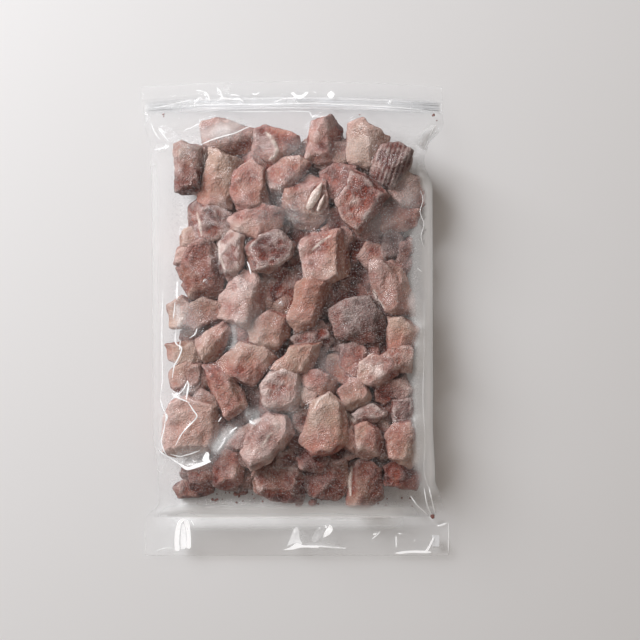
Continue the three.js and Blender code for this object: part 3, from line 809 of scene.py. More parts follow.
stripes = {"high": 0.38, "pitch": 2.7, "way": (0.95, 0.3), "from": 8, "full": 3}
kinds = {"pale": [], "pink": [], "red": [], "brown": []}
for name, look, rise, (share, shiftX, shiftY), outline in shownDice:
    low = min(y for x, y in outline)
    top = cut["level"] + rise - cut["endDrop"] * float(smooth(-low, 92, 120))
    foot = max(cut["lowest"], top - rng.uniform(*cut["thickness"]))
    block = blockOf(outline, top, share, (shiftX, shiftY), foot, facets.get(name, ()))
    roughen(block, cut["voxel"], cut["lumps"], cut["fibres"], cut["pull"])
    if look == "maroonStriped":
        at = places(block)
        run = (at[:, 0] * stripes["way"][0] - at[:, 1] * stripes["way"][1]) / mm
        nearTop = smooth(at[:, 2] / mm, top - stripes["from"], top - stripes["full"])
        at[:, 2] += stripes["high"] * mm * np.sin(run * 2 * math.pi / stripes["pitch"]) * nearTop
        setPlaces(block, at)
    turn = (rng.uniform(-0.4, 0.4) + math.pi / 2, rng.uniform(-0.4, 0.4), rng.uniform(0, math.pi))
    kinds[markDie(block, look, turn)].append(block)
print("dice that show:", len(shownDice))

# sticks of white fat that lie on a die: (x, y, half length in px, half width and height in mm, turn)
stickShape = {"level": 36, "middle": 35.6, "taper": 0.35, "uneven": 0.12}
for across, down, long, wide, high, turn in [(315, 196, 15, 2.7, 2.2, 62), (321, 203, 9, 1.3, 1.8, 67)]:
    x, y = onBag(across, down, stickShape["level"])
    bpy.ops.mesh.primitive_ico_sphere_add(subdivisions=4, radius=1, location=(0, 0, 0))
    stick = named("stick")
    at = places(stick)
    thin = wide * (1 - stickShape["taper"] * at[:, 0])
    thin = thin * (1 + stickShape["uneven"] * np.sin(at[:, 0] * 5 + across))
    u, v = at[:, 0] * long * photo["mmPerPixel"], at[:, 1] * thin
    c, s = math.cos(math.radians(turn)), math.sin(math.radians(turn))
    setPlaces(stick, np.stack([(x + u * c - v * s) * mm, (y + u * s + v * c) * mm,
                               (stickShape["middle"] + at[:, 2] * high) * mm], 1))
    markDie(stick, "pinkFat", (math.pi / 2, 0, math.radians(turn)))
    paint(stick, "fat", np.ones(len(at)))
    kinds["pink"].append(stick)

# the lower layer, which shows only through the gaps, in rows
beneath = []
rows = {"pitch": 21.5, "firstX": -58.0, "lastX": 62.0, "firstY": -98.0, "lastY": 106.0,
        "width": (24.0, 28.0), "top": (19.5, 25.5), "endDrop": 7, "endFrom": 80, "endTo": 105,
        "emptyShift": 14, "footDeep": 0.72, "footWide": 0.86, "turn": 0.8, "drift": 4, "askew": 2,
        "topShare": 0.9, "rougher": 2.0}
y = rows["firstY"]
while y < rows["lastY"]:
    x = rows["firstX"] + rng.uniform(-1, 1)
    while x < rows["lastX"]:
        wide, deep = rng.uniform(*rows["width"]), rng.uniform(*rows["width"])
        if x < -50 and 40 < y < 90:
            x += rows["emptyShift"]  # the pack is empty beside this die
        if y < -90:
            deep *= rows["footDeep"]  # the row at the foot stays behind the shown dice
            wide *= rows["footWide"]
        turn = rng.uniform(-rows["turn"], rows["turn"])
        corners = [(wide * a, deep * b) for a, b in ((-0.5, -0.5), (0.5, -0.5), (0.5, 0.5), (-0.5, 0.5))]
        atY = y + rng.uniform(-rows["drift"], rows["drift"])
        askew = rows["askew"]
        outline = [(x + a * math.cos(turn) - b * math.sin(turn) + rng.uniform(-askew, askew),
                    atY + a * math.sin(turn) + b * math.cos(turn) + rng.uniform(-askew, askew))
                   for a, b in corners]
        endsLow = rows["endDrop"] * float(smooth(-y, rows["endFrom"], rows["endTo"]))
        top = rng.uniform(*rows["top"]) - endsLow
        block = blockOf(outline, top, rows["topShare"], (0, 0), cut["lowest"])
        roughen(block, cut["beneathVoxel"], rows["rougher"] * cut["lumps"], cut["fibres"],
                rows["rougher"] * cut["pull"])
        markDie(block, rng.choice(["shaded", "brown", "maroon", "shaded", "pinkBrown"]),
                (math.pi / 2, 0, rng.uniform(0, math.pi)))
        beneath.append(block)
        x += rows["pitch"] + rng.uniform(-1, 3)
    y += rows["pitch"]
print("dice beneath:", len(beneath))

# smaller ones wedged between the upper and the lower dice, where the gaps are widest
wedged = [
    (-45, 2, 22), (-20, -27, 22), (20, 45, 22), (44, 70, 20), (46, -20, 20), (-5, 76, 22), (-46, 84, 18),
    (30, 106, 16), (-58, -92, 18), (-30, -78, 20), (8, -66, 22), (50, 40, 20), (-20, 8, 22), (36, 0, 18),
    (62, 30, 18), (-36, -60, 22), (-8, -96, 20), (24, -66, 20), (56, -62, 20), (-52, 62, 18),
    (60, -86, 18), (30, 64, 22), (-62, 20, 18), (0, 106, 16), (-26, 98, 18), (58, 8, 20),
    (-36, -104, 16), (18, -106, 18), (48, -100, 18), (16, -10, 22), (0, 15, 20),
]
wedge = {"uneven": (0.85, 1.15), "top": (22, 27), "endDrop": 12, "endFrom": 76, "endTo": 96,
         "topShare": 0.85, "foot": (3, 5), "voxel": 1.6}
for x, y, wide in wedged:
    turn = rng.uniform(0, math.pi)
    outline = [(x + wide * 0.5 * math.cos(turn + k * math.pi / 2.5) * rng.uniform(*wedge["uneven"]),
                y + wide * 0.5 * math.sin(turn + k * math.pi / 2.5) * rng.uniform(*wedge["uneven"]))
               for k in range(5)]
    endsLow = wedge["endDrop"] * float(smooth(-y, wedge["endFrom"], wedge["endTo"]))
    top = rng.uniform(*wedge["top"]) - endsLow
    block = blockOf(outline, top, wedge["topShare"], (0, 0), rng.uniform(*wedge["foot"]))
    roughen(block, wedge["voxel"], cut["lumps"], cut["fibres"], cut["pull"])
    markDie(block, rng.choice(["brown", "rust", "pinkBrown", "maroon", "shaded"]),
            (math.pi / 2, 0, rng.uniform(0, math.pi)))
    beneath.append(block)

diceAt = np.concatenate([places(die) for parts in [*kinds.values(), beneath] for die in parts])
beefValues = {
    "pale": {"fibreWidth": 1.6, "blotchSize": 11.0, "patchSize": 13.0, "grainSize": 1.0, "blotch": 0.48,
             "streak": 0.14, "fleck": 0.20, "uneven": 0.6, "rim": 0.20, "roughness": 0.62, "relief": 0.65},
    "pink": {"fibreWidth": 1.6, "blotchSize": 10.0, "patchSize": 12.0, "grainSize": 1.0, "blotch": 0.52,
             "streak": 0.15, "fleck": 0.22, "uneven": 0.6, "rim": 0.22, "roughness": 0.6, "relief": 0.65},
    "red": {"fibreWidth": 1.4, "blotchSize": 8.0, "patchSize": 10.0, "grainSize": 0.95, "blotch": 0.36,
            "streak": 0.18, "fleck": 0.26, "uneven": 0.55, "rim": 0.5, "roughness": 0.56, "relief": 0.9},
    "brown": {"fibreWidth": 1.6, "blotchSize": 10.0, "patchSize": 12.0, "grainSize": 1.0, "blotch": 0.50,
              "streak": 0.15, "fleck": 0.30, "uneven": 0.6, "rim": 0.24, "roughness": 0.6, "relief": 0.9},
}
beefPieces = []
for kind, parts in kinds.items():
    piece = joined(parts, "beef_dice_" + kind)
    dress(piece, beefMaterial("frozenBeef_" + kind, beefValues[kind]))
    beefPieces.append(piece)
under = joined(beneath, "beef_dice_beneath")
dress(under, bpy.data.materials["frozenBeef_brown"])
beefPieces.append(under)
for piece in beefPieces:
    print(piece.name, sum(len(face.vertices) - 2 for face in piece.data.polygons), "triangles")

# The film, as the solid it stands for gives it, in mm
filmEdge = {
    "headerEdge": 152.4, "footEdge": 156.0, "bow": 3.6, "bowStarts": 92.0, "bowEnds": 146.0,
    "left": [(156, -101.6), (128, -98.5), (110, -94), (78, -93), (-74, -92.4), (-104, -89), (-121, -89.5),
             (-132, -98.5), (-156, -98.5)],
    "right": [(156, 96.4), (127, 97.5), (112, 87), (103, 84.5), (84, 89.8), (-67, 90), (-105, 91.5),
              (-118, 96), (-132, 100.8), (-156, 101.6)],
}
film = {
    "step": 1.2, "level": 27.0, "sideSeam": 13.0, "flatSeam": 5.2, "flatAlong": 131.0,
    "droop": 2.2, "droopAlong": 144.0, "sideRun": 21.0, "baseRun": 17.0, "bodyTop": 134.0, "bodyFoot": 129.0,
    "endRun": 18.0, "plies": 0.9, "zipAlong": 138.2, "zipWidth": 8.0, "zipStack": 4.2,
    "clear": 0.25, "pull": 0.010, "rounds": 1500, "raised": 38.0, "columns": 170, "rowsAlong": 262,
}


def edgeAt(side, along):
    # the outline's distance across at each place along, softly from point to point
    along = np.asarray(along, float)
    across = np.full(along.shape, float(filmEdge[side][0][1]))
    for (upper, first), (lower, second) in zip(filmEdge[side], filmEdge[side][1:]):
        here = lerp(first, second, smooth(upper - along, 0, upper - lower))
        across = np.where(along < upper, here, across)
    return across


def seamHeight(along):
    flat = smooth(np.abs(along), 95, film["flatAlong"])
    droop = film["droop"] * smooth(np.abs(along), film["droopAlong"], filmEdge["footEdge"])
    return lerp(film["sideSeam"], film["flatSeam"], flat) - droop


def quarterRound(distance, run):
    return np.sqrt(np.clip(1 - (1 - np.clip(distance / run, 0, 1)) ** 2, 0, 1))


def halfPlies(along):
    overZip = smooth(np.abs(along - film["zipAlong"]), film["zipWidth"] / 2 + 1.4, film["zipWidth"] / 2)
    return lerp(film["plies"], film["zipStack"], overZip) / 2


def swellingAt(x, y, run):
    inward = np.minimum(x - edgeAt("left", y), edgeAt("right", y) - x)
    fromEnd = np.minimum(film["bodyTop"] - y, y + film["bodyFoot"])
    return quarterRound(inward, run) * quarterRound(fromEnd, film["endRun"])


# the film hangs between the tops of the dice, worked out on an even raster
cell = film["step"]
rasterX = np.arange(-106, 107, cell)
rasterY = np.arange(-160, 161, cell)
gridX, gridY = np.meshgrid(rasterX, rasterY, indexing="ij")
column = np.clip(((diceAt[:, 0] / mm - rasterX[0]) / cell + 0.5).astype(int), 0, len(rasterX) - 1)
row = np.clip(((diceAt[:, 1] / mm - rasterY[0]) / cell + 0.5).astype(int), 0, len(rasterY) - 1)
tops = np.zeros(gridX.shape)
np.maximum.at(tops, (column, row), diceAt[:, 2] / mm)
padded = np.pad(tops, 1)
tops = np.max([padded[i:i + tops.shape[0], j:j + tops.shape[1]] for i in range(3) for j in range(3)], axis=0)
seam = seamHeight(gridY)
plain = seam + halfPlies(gridY) + (film["level"] - seam) * swellingAt(gridX, gridY, film["sideRun"])
floorOf = np.maximum(plain, np.where(tops > 0, tops + film["clear"], 0))
raised = seam + halfPlies(gridY) + (film["raised"] - seam) * swellingAt(gridX, gridY, film["sideRun"])
held = swellingAt(gridX, gridY, film["sideRun"]) <= 0
drape = np.where(held, plain, np.maximum(raised, floorOf))
for _ in range(film["rounds"]):
    around = (np.roll(drape, 1, 0) + np.roll(drape, -1, 0)
              + np.roll(drape, 1, 1) + np.roll(drape, -1, 1)) / 4
    drape = np.where(held, plain, np.maximum(floorOf, around - film["pull"]))
print("film drape, highest", round(float(drape.max()), 1), "mm")


def onRaster(values, x, y):
    # reads the raster between its cells
    u = np.clip((np.asarray(x) - rasterX[0]) / cell, 0, len(rasterX) - 1.001)
    v = np.clip((np.asarray(y) - rasterY[0]) / cell, 0, len(rasterY) - 1.001)
    i, j = u.astype(int), v.astype(int)
    u, v = u - i, v - j
    return (values[i, j] * (1 - u) * (1 - v) + values[i + 1, j] * u * (1 - v)
            + values[i, j + 1] * (1 - u) * v + values[i + 1, j + 1] * u * v)


# sharp creases of the film, as (width in pixels, strength, line in the photo's frame)
# their whiteness and glow are a painted highlight beside their real gloss
creases = [
    (1.0, 1.0, [(157, 448), (165, 454), (170, 457), (178, 462), (184, 466), (188, 468)]),
    (0.8, 1.0, [(171, 453.5), (177, 455), (181, 456), (186, 454.5), (192, 453), (197, 451), (201, 449.5)]),
    (1.6, 0.9, [(203, 460), (206, 456), (208, 451.5)]), (0.8, 0.7, [(193, 459), (195, 461), (198, 460)]),
    (1.3, 0.6, [(218, 450), (222, 445), (226, 438)]), (1.4, 0.85, [(224, 439), (227, 436)]),
    (1.3, 0.8, [(230, 433), (234, 429), (238, 426)]), (1.8, 0.8, [(250, 419), (253, 422), (256, 422)]),
    (0.9, 0.9, [(219, 421), (221, 418.5), (222.5, 416)]),
    (0.7, 0.9, [(163, 290), (162, 330), (162.5, 375), (162, 385), (161, 392), (160.5, 399)]),
    (0.9, 1.0, [(160.5, 399), (163, 407), (167, 413)]), (1.8, 0.9, [(166, 412), (168, 416), (166.5, 421)]),
    (0.9, 0.9, [(166, 420), (165, 428), (163, 436), (162, 442), (165, 450), (168, 455)]),
    (1.2, 1.0, [(188, 380), (189.5, 385), (188.5, 392), (187.5, 399)]),
    (0.9, 1.0, [(187, 399), (191, 404), (195, 410), (198, 414), (197.5, 417), (194, 421), (188, 427),
                (183, 433), (180, 438), (176.5, 445)]),
    (1.1, 1.0, [(172, 393), (178, 396.5), (184, 399), (188.5, 401)]),
    (0.7, 0.9, [(188, 381), (185, 388), (181, 392.5), (175, 395)]),
    (1.1, 0.9, [(177, 328), (176, 342), (182, 348), (180, 356), (175, 366), (173, 378)]),
    (0.7, 0.7, [(180, 350), (181, 340)]), (0.7, 0.7, [(198, 328), (196, 334), (190, 338)]),
    (1.3, 0.9, [(178, 281), (178, 300)]), (0.8, 0.7, [(176, 302), (174, 318)]),
    (0.9, 0.8, [(184, 133), (187, 130), (191, 129), (196, 126), (201, 123)]),
    (0.9, 0.8, [(200, 147), (208, 143), (216, 140), (226, 137), (236, 134), (246, 129), (251, 127)]),
    (0.9, 1.0, [(158, 127), (162, 133), (166, 138), (170, 143)]),
    (0.7, 0.7, [(150, 122), (154, 131), (160, 140)]), (1.0, 0.9, [(153, 149), (160, 149), (168, 147)]),
    (0.6, 0.8, [(144, 114), (149, 116)]), (0.9, 0.9, [(436, 124), (433, 129), (430, 136)]),
    (0.7, 0.7, [(429, 139), (427, 144), (425, 148)]), (1.0, 0.9, [(248, 262), (250, 267), (252, 275)]),
    (0.8, 0.8, [(204, 283), (206, 279)]), (0.8, 0.8, [(279, 304), (282, 301)]),
    (0.7, 0.8, [(285, 113.5), (300, 113.5), (309, 115), (311, 119), (313, 121.5), (325, 121.5),
                (329, 119)]),
    (0.6, 0.7, [(193, 104.5), (230, 105), (262, 105), (300, 104), (318, 103.5), (340, 105), (400, 108),
                (435, 112)]),
    (0.6, 0.6, [(193, 108.5), (240, 108.5), (290, 108), (318, 108)]),
    (0.7, 0.7, [(201, 114), (246, 114), (285, 114)]), (0.5, 0.35, [(157, 108), (175, 104), (192, 100)]),
    (0.5, 0.4, [(320, 108), (380, 109), (430, 113)]),
    (1.2, 1.0, [(216.5, 87), (221, 93), (222.5, 98), (228, 99), (233, 99.7)]),
    (1.0, 1.0, [(233, 99.7), (238, 99), (241, 100), (244, 103.3)]),
    (0.8, 0.9, [(230, 94.7), (235, 95), (240, 96.3)]),
    (1.2, 1.0, [(203, 91.5), (206.7, 93.8), (209, 98), (210, 102.2)]), (0.9, 0.8, [(196, 90), (203, 91.5)]),
    (1.0, 1.0, [(194, 103), (197.5, 100.5), (200, 97.5), (202.5, 100.5)]),
    (0.9, 0.9, [(251.7, 93), (255, 94.7), (260, 92.2)]), (1.0, 0.9, [(281, 93.8), (282.5, 94)]),
    (0.7, 0.7, [(273, 103), (281.7, 99.7), (291, 98.5), (298, 98)]), (1.2, 0.6, [(313, 91.5), (316, 93)]),
    (1.1, 0.7, [(391, 100), (390.5, 102), (390, 104.5)]), (0.9, 0.9, [(178, 118), (179.5, 118)]),
    (0.9, 0.9, [(260.5, 118), (262, 118)]),
    (0.8, 1.0, [(410, 495), (417, 505), (424, 512), (430, 519), (436, 525)]),
    (0.9, 0.6, [(424, 488), (426, 500), (429, 510), (433, 517)]),
    (0.9, 0.5, [(429, 487), (432, 500), (436, 516)]), (1.4, 0.9, [(437, 526), (442, 525), (447, 523)]),
    (0.6, 0.7, [(448.5, 523), (448.5, 552)]), (1.2, 0.9, [(303, 546), (320, 546.5), (345, 548.7)]),
    (1.3, 0.9, [(344.5, 548), (346, 549)]), (2.2, 0.8, [(319, 527.5), (320, 529.5)]),
    (1.0, 0.5, [(318, 534), (317, 538)]), (1.1, 0.6, [(372, 539), (377, 535), (380, 531.5)]),
    (1.2, 0.3, [(396, 536), (396.5, 548)]), (1.1, 0.9, [(397.5, 533.5), (402, 534)]),
    (0.9, 0.7, [(413.7, 542), (415.3, 539)]),
    (0.7, 0.8, [(155.5, 552), (161, 549.5), (167, 548.3), (174, 549)]),
    (0.7, 0.8, [(191, 520), (194, 525.8)]), (0.5, 0.4, [(173, 516), (182, 511), (192, 511), (199, 516)]),
    (0.5, 0.35, [(170, 513), (183, 507), (198, 510)]),
    (0.6, 0.3, [(300, 512), (330, 511), (360, 514), (385, 516), (393, 518)]),
    (0.5, 0.4, [(417, 268), (422, 272)]),
    (0.5, 0.25, [(424, 300), (424, 350), (423, 400), (425, 440), (424, 470), (428, 486)]),
    (0.5, 0.3, [(431, 190), (433, 260), (433, 330), (434, 400)]),
    (0.5, 0.35, [(420, 190), (423, 200), (420, 212), (424, 224), (421, 236), (424, 248)]),
]
# flat places of the film that mirror the window, as outlines in the photo's frame
# they are also painted milky white and glowing, a painted highlight
glints = [
    [(175, 550), (174.6, 540), (175.5, 530), (178, 521.5), (182.5, 518.5), (186, 520), (181.5, 523),
     (180, 532), (179.4, 541), (179.6, 550)],
    [(186.6, 547.5), (186.8, 538), (186, 529), (184, 522), (186, 519.5), (189, 522), (190.6, 532),
     (191, 547)],
    [(178, 461.5), (184, 464.4), (189, 466), (195, 464.2), (201, 461.8), (207, 460.2), (212, 460.3),
     (206, 463.6), (196, 467.5), (188, 469.3), (183, 466.8)],
    [(424.5, 551.5), (429, 545), (432.5, 538), (434, 538.5), (431, 545), (427, 551.8)],
    [(283, 550), (290, 547.5), (297, 543), (304, 545.2), (318, 545.6), (318, 547.2), (302, 547.4),
     (292, 549.6)],
    [(394, 553.8), (404, 551.6), (418, 550.8), (430, 551.4), (430, 553), (412, 553.2), (400, 554.4)],
    [(323.3, 537.3), (324.5, 532), (327.5, 528.5), (329.3, 524.6), (332, 526.5), (332.3, 530.5),
     (328.5, 535)],
    [(291, 93.3), (293.5, 92.6), (297, 95.6), (302, 95.4), (306, 92.7), (308.3, 93.2), (305, 97),
     (301, 99.2), (297, 98.7), (293, 96)],
    [(331, 91), (334.8, 94.6), (331, 98.8), (327.2, 95)],
    [(203, 459), (204.5, 455), (207.5, 451), (210, 453), (209.8, 458), (211.5, 461), (206, 461.5)],
]

# painted highlights that are only half bright: untilted panes painted partly white and glowing, as
# (strength, outline)
halfGlints = [
    (0.8, [(180.5, 549), (180.6, 538), (181.5, 528), (183.5, 524), (185.4, 529), (186, 538), (185.8, 548)]),
    (0.6, [(287, 546), (290.5, 538), (294, 529), (297, 527), (299, 531), (299.5, 538), (302, 544),
           (295, 543)]),
    (0.20, [(311, 538), (317, 529), (323, 528), (324, 533), (319, 539), (314, 542)]),
]

# broad folds that catch the light, as (height, half width in mm, line in the photo's frame)
swells = [
    (1.3, 2.0, [(177, 550), (177, 536), (180, 522)]), (1.3, 1.8, [(189, 549), (188.5, 534), (187, 521)]),
    (1.2, 2.6, [(284, 550), (297, 545), (304, 546), (322, 547), (344, 548)]),
    (1.1, 2.4, [(295, 546), (296, 536), (297, 528)]), (1.2, 2.2, [(324, 537), (327, 531), (331, 526)]),
    (0.8, 1.6, [(372, 539), (377, 535), (380, 531)]), (1.0, 1.8, [(425, 551), (429, 546), (433, 538)]),
    (0.8, 2.2, [(170, 513), (200, 516), (240, 513), (280, 515)]),
    (0.8, 2.2, [(285, 512), (330, 512), (380, 515), (405, 512)]),
    (1.0, 1.8, [(291, 94), (299, 97), (307, 94)]), (0.9, 1.3, [(217, 87), (222, 97), (232, 100)]),
    (0.9, 1.3, [(203, 91), (208, 96), (210, 102)]), (0.8, 1.2, [(196, 102), (200, 98), (203, 101)]),
    (0.9, 1.5, [(329, 95), (334, 95)]), (0.8, 1.2, [(252, 93), (256, 95), (260, 93)]),
    (0.8, 1.2, [(391, 98), (390, 105)]), (2.0, 3.2, [(440, 124), (430, 137), (421, 151)]),
    (1.6, 2.0, [(147, 112), (146, 119), (152, 123)]), (1.3, 2.2, [(153, 147), (161, 150), (170, 148)]),
    (1.2, 2.0, [(168, 457), (178, 463), (188, 467), (200, 465), (210, 460)]),
    (0.8, 1.6, [(203, 462), (206, 456), (208, 450)]), (0.8, 2.2, [(214, 454), (224, 442), (236, 428)]),
    (1.0, 1.6, [(206, 284), (209, 281)]), (1.2, 1.6, [(280, 306), (284, 302)]),
]


def lowOn(line):
    # how high the film lies, roughly, under a mark that starts here
    return 6.0 if line[0][1] > 500 or line[0][1] < 117 else 24.0


def raisedBy(x, y):
    # how far the creases and folds lift the film at each place, in mm
    lift = np.zeros(len(x))
    for wide, strength, line in creases:
        half = 0.5 * wide * photo["mmPerPixel"]
        away, share = besideLine(x, y, [onBag(*p, lowOn(line)) for p in line])
        fade = smooth(share, -0.02, 0.25) * smooth(share, 1.02, 0.75)
        lift = np.maximum(lift, fade * strength * min(1.0, 0.3 + 0.9 * half) * np.exp(-away / (half + 0.9)))
    for high, wide, line in swells:
        away, share = besideLine(x, y, [onBag(*p, lowOn(line)) for p in line])
        fade = smooth(share, -0.02, 0.3) * smooth(share, 1.02, 0.7)
        lift = np.maximum(lift, fade * high * np.exp(-(away / wide) ** 2))
    return lift


# the envelope: one even grid is shaped as the upper ply, and its copy as the lower one
bpy.ops.mesh.primitive_grid_add(x_subdivisions=film["columns"], y_subdivisions=film["rowsAlong"], size=2)
bag = named("film_envelope")
at = places(bag)
share = at[:, 0]
along = lerp(-filmEdge["footEdge"], filmEdge["headerEdge"], (at[:, 1] + 1) / 2)
x = lerp(edgeAt("left", along), edgeAt("right", along), (share + 1) / 2)
y = along + filmEdge["bow"] * (1 - share ** 2) * smooth(along, filmEdge["bowStarts"], filmEdge["bowEnds"])
upper = onRaster(drape, x, along)
# near the rim the raster is too coarse, so the solid's own profile is used
rimShare = smooth(np.minimum(x - edgeAt("left", along), edgeAt("right", along) - x), 0.4, 2.6)
exact = seamHeight(along) + halfPlies(along) + (film["level"] - seamHeight(along)) * swellingAt(
    x, along, film["sideRun"])
upper = lerp(exact, upper, rimShare)
ridge = raisedBy(x, y)
upper = upper + ridge * rimShare
seamHere = seamHeight(along)
lower = np.maximum(0, (seamHere - halfPlies(along)) * (1 - swellingAt(x, along, film["baseRun"])))
setPlaces(bag, np.stack([x * mm, y * mm, upper * mm], 1))
activate(bag)
bpy.ops.object.mode_set(mode="EDIT")
bpy.ops.mesh.select_all(action="SELECT")
bpy.ops.mesh.duplicate()
bpy.ops.mesh.flip_normals()
bpy.ops.object.mode_set(mode="OBJECT")
bothAt = places(bag)
half = len(bothAt) // 2
bothAt[half:] = np.stack([x * mm, y * mm, lower * mm], 1)
setPlaces(bag, bothAt)
# the plies are welded along their rims
bpy.ops.object.mode_set(mode="EDIT")
bpy.ops.mesh.select_mode(type="EDGE")
bpy.ops.mesh.select_all(action="DESELECT")
bpy.ops.mesh.select_non_manifold(extend=False, use_wire=False, use_boundary=True,
                                 use_multi_face=False, use_non_contiguous=False, use_verts=False)
bpy.ops.mesh.bridge_edge_loops()
bpy.ops.object.mode_set(mode="OBJECT")
bpy.ops.object.shade_smooth()
onUpper = np.arange(len(bothAt)) < half
print("film", len(bag.data.polygons), "faces")

# fogged or doubled places of the film: (x, y, half width, half height, turn in degrees, strength), in pixels
fog = [
    (222, 129, 28, 9, -15, 0.5), (262, 152, 14, 8, -20, 0.17), (296, 146, 12, 10, 20, 0.18),
    (352, 150, 16, 10, 0, 0.13), (290, 210, 16, 12, 30, 0.18), (272, 214, 12, 12, 0, 0.12),
    (410, 198, 13, 17, 15, 0.24), (386, 222, 14, 16, 30, 0.18), (400, 232, 14, 20, 0, 0.13),
    (236, 334, 7, 20, 8, 0.26), (250, 326, 16, 16, 0, 0.12), (184, 320, 12, 16, 0, 0.32),
    (264, 412, 20, 8, -20, 0.17), (292, 412, 8, 16, 0, 0.14), (224, 440, 20, 9, -40, 0.34),
    (198, 456, 17, 8, 10, 0.42), (172, 480, 12, 14, 0, 0.20), (190, 390, 10, 12, 0, 0.11),
    (330, 366, 12, 14, 20, 0.13), (358, 312, 12, 8, 0, 0.07), (300, 176, 14, 10, 0, 0.08),
    (240, 288, 14, 14, 0, 0.08), (320, 220, 12, 10, 0, 0.07), (300, 390, 10, 10, 0, 0.10),
]
# soft wide streaks: (half width in pixels, strength, line in the photo's frame)
# they are partly milky film and partly a painted highlight
streaks = [
    (3.5, 0.7, [(177, 459), (186, 463), (198, 462), (209, 459)]),
    (6.0, 0.45, [(174, 456), (190, 457), (206, 453)]),
    (6.5, 0.62, [(212, 455), (218, 446), (226, 436), (238, 426)]),
    (3.0, 0.5, [(248, 420), (255, 421), (262, 416)]), (3.0, 0.6, [(178, 302), (179, 318), (181, 330)]),
    (3.0, 0.55, [(234, 322), (236, 338), (233, 352)]), (6.5, 0.52, [(438, 123), (428, 136), (420, 150)]),
    (2.5, 0.5, [(147, 112), (144, 119), (150, 122)]), (4.5, 0.32, [(152, 146), (160, 148), (168, 147)]),
    (3.0, 0.25, [(158, 128), (165, 140), (168, 146)]),
    (5.0, 0.7, [(183, 552), (183, 540), (183, 526), (183, 520)]),
    (4.0, 0.7, [(296, 549), (296.5, 540), (296, 532), (297, 527)]),
    (3.0, 0.4, [(300, 545), (322, 545), (344, 548)]), (5.0, 0.22, [(320, 541), (330, 538), (340, 545)]),
    (7.0, 0.30, [(296, 545), (300, 537), (304, 530)]),
    (1.8, 0.6, [(170, 512), (186, 508), (212, 511), (246, 508), (284, 513)]),
    (1.4, 0.45, [(174, 517), (200, 519), (238, 516), (284, 518)]),
    (1.6, 0.75, [(284, 509), (322, 508), (362, 512), (402, 514)]),
    (1.3, 0.7, [(296, 518), (340, 520), (386, 521)]), (2.6, 0.6, [(336, 515), (372, 513), (396, 518)]),
    (1.6, 0.75, [(196, 505), (222, 503), (252, 506), (276, 504)]),
    (4.0, 0.3, [(430, 548), (440, 548), (446, 546)]), (3.0, 0.2, [(372, 540), (362, 546)]),
    (2.6, 0.2, [(396, 536), (396, 549)]), (3.2, 0.42, [(428, 487), (432, 500), (436, 520)]),
    (2.4, 0.35, [(424, 486), (428, 500), (434, 518)]), (3.0, 0.5, [(222, 88), (228, 89), (230, 88)]),
    (2.6, 0.3, [(285, 101), (292, 100), (298, 101)]), (4.0, 0.6, [(140, 112), (145, 118), (150, 124)]),
    (2.0, 0.3, [(195, 102), (200, 99), (206, 102)]),
    (2.8, 0.62, [(176, 395), (183, 396), (187, 390), (188, 384)]), (2.0, 0.6, [(163, 413), (164, 417)]),
    (6.0, 0.35, [(244, 414), (252, 414), (262, 412)]),
]
milky = {
    "ridge": 0.35, "rightHem": 0.10, "right": 0.64, "rightBelow": 0.56, "left": 0.30, "slopeTop": 0.60,
    "slopeBelow": 0.9, "crinkleReflection": 0.55, "foot": 0.24, "footRight": 0.12, "header": 0.12, "footShadeRight": 0.62,
}
hazeAt = np.zeros(len(bothAt))
xMm, yMm = bothAt[:, 0] / mm, bothAt[:, 1] / mm
for across, down, wide, high, turn, strength in fog:
    cx, cy = onBag(across, down)
    c, s = math.cos(math.radians(-turn)), math.sin(math.radians(-turn))
    u = ((xMm - cx) * c + (yMm - cy) * s) / (wide * photo["mmPerPixel"])
    v = (-(xMm - cx) * s + (yMm - cy) * c) / (high * photo["mmPerPixel"])
    hazeAt = np.maximum(hazeAt, strength * np.exp(-(u * u + v * v) * 0.9))
for wide, strength, line in streaks:
    away, share = besideLine(xMm, yMm, [onBag(*p, lowOn(line)) for p in line])
    fade = smooth(share, -0.02, 0.2) * smooth(share, 1.02, 0.8)
    hazeAt = np.maximum(hazeAt, strength * fade * np.exp(-(away / (wide * photo["mmPerPixel"])) ** 2))
# raised folds are milkier: partly the film whitening where it folds, partly a painted highlight
hazeAt[:half] = np.maximum(hazeAt[:half], smooth(ridge, 0.4, 1.4) * milky["ridge"])
shineAt = np.zeros(len(bothAt))
shineAt[:half] = smooth(ridge, 0.05, 0.5)
# the walls beside the meat, the slope below it and the flat foot are evenly milky, and by the same amount
# they glow with painted light
wallBorder = [(405, 118), (411, 140), (417, 185), (422, 212), (409, 240), (408, 300), (413, 330), (412, 380),
              (410, 420), (412, 450), (418, 490), (420, 510)]
uneven = 2.4 * np.sin(yMm / 8.3 + 1) + 1.8 * np.sin(yMm / 3.9) + 1.2 * np.sin(yMm / 2.1 + 2)
border = np.array([onBag(across, down, 24.0) for across, down in wallBorder])[::-1]
past = xMm + 0.35 * uneven - np.interp(yMm, border[:, 1], border[:, 0])
wall = milky["rightHem"] * smooth(past, -9, -3) + milky["right"] * smooth(past, -1.5, 3.0)
evenAt = wall * smooth(yMm, -128, -100) * smooth(yMm, 112, 80)
leftWall = smooth(xMm, -72, -86) * smooth(yMm, -122, -92) * smooth(yMm, 124, 92)
evenAt = np.maximum(evenAt, milky["left"] * leftWall)
slope = smooth(yMm + uneven * 0.8, -113, -127) * smooth(yMm, -140, -136)
slope *= smooth(np.abs(xMm + 4), 96, 62)
ramp = lerp(milky["slopeTop"], 1.0, smooth(yMm, -119, -132))
evenAt = np.maximum(evenAt, ramp * slope)
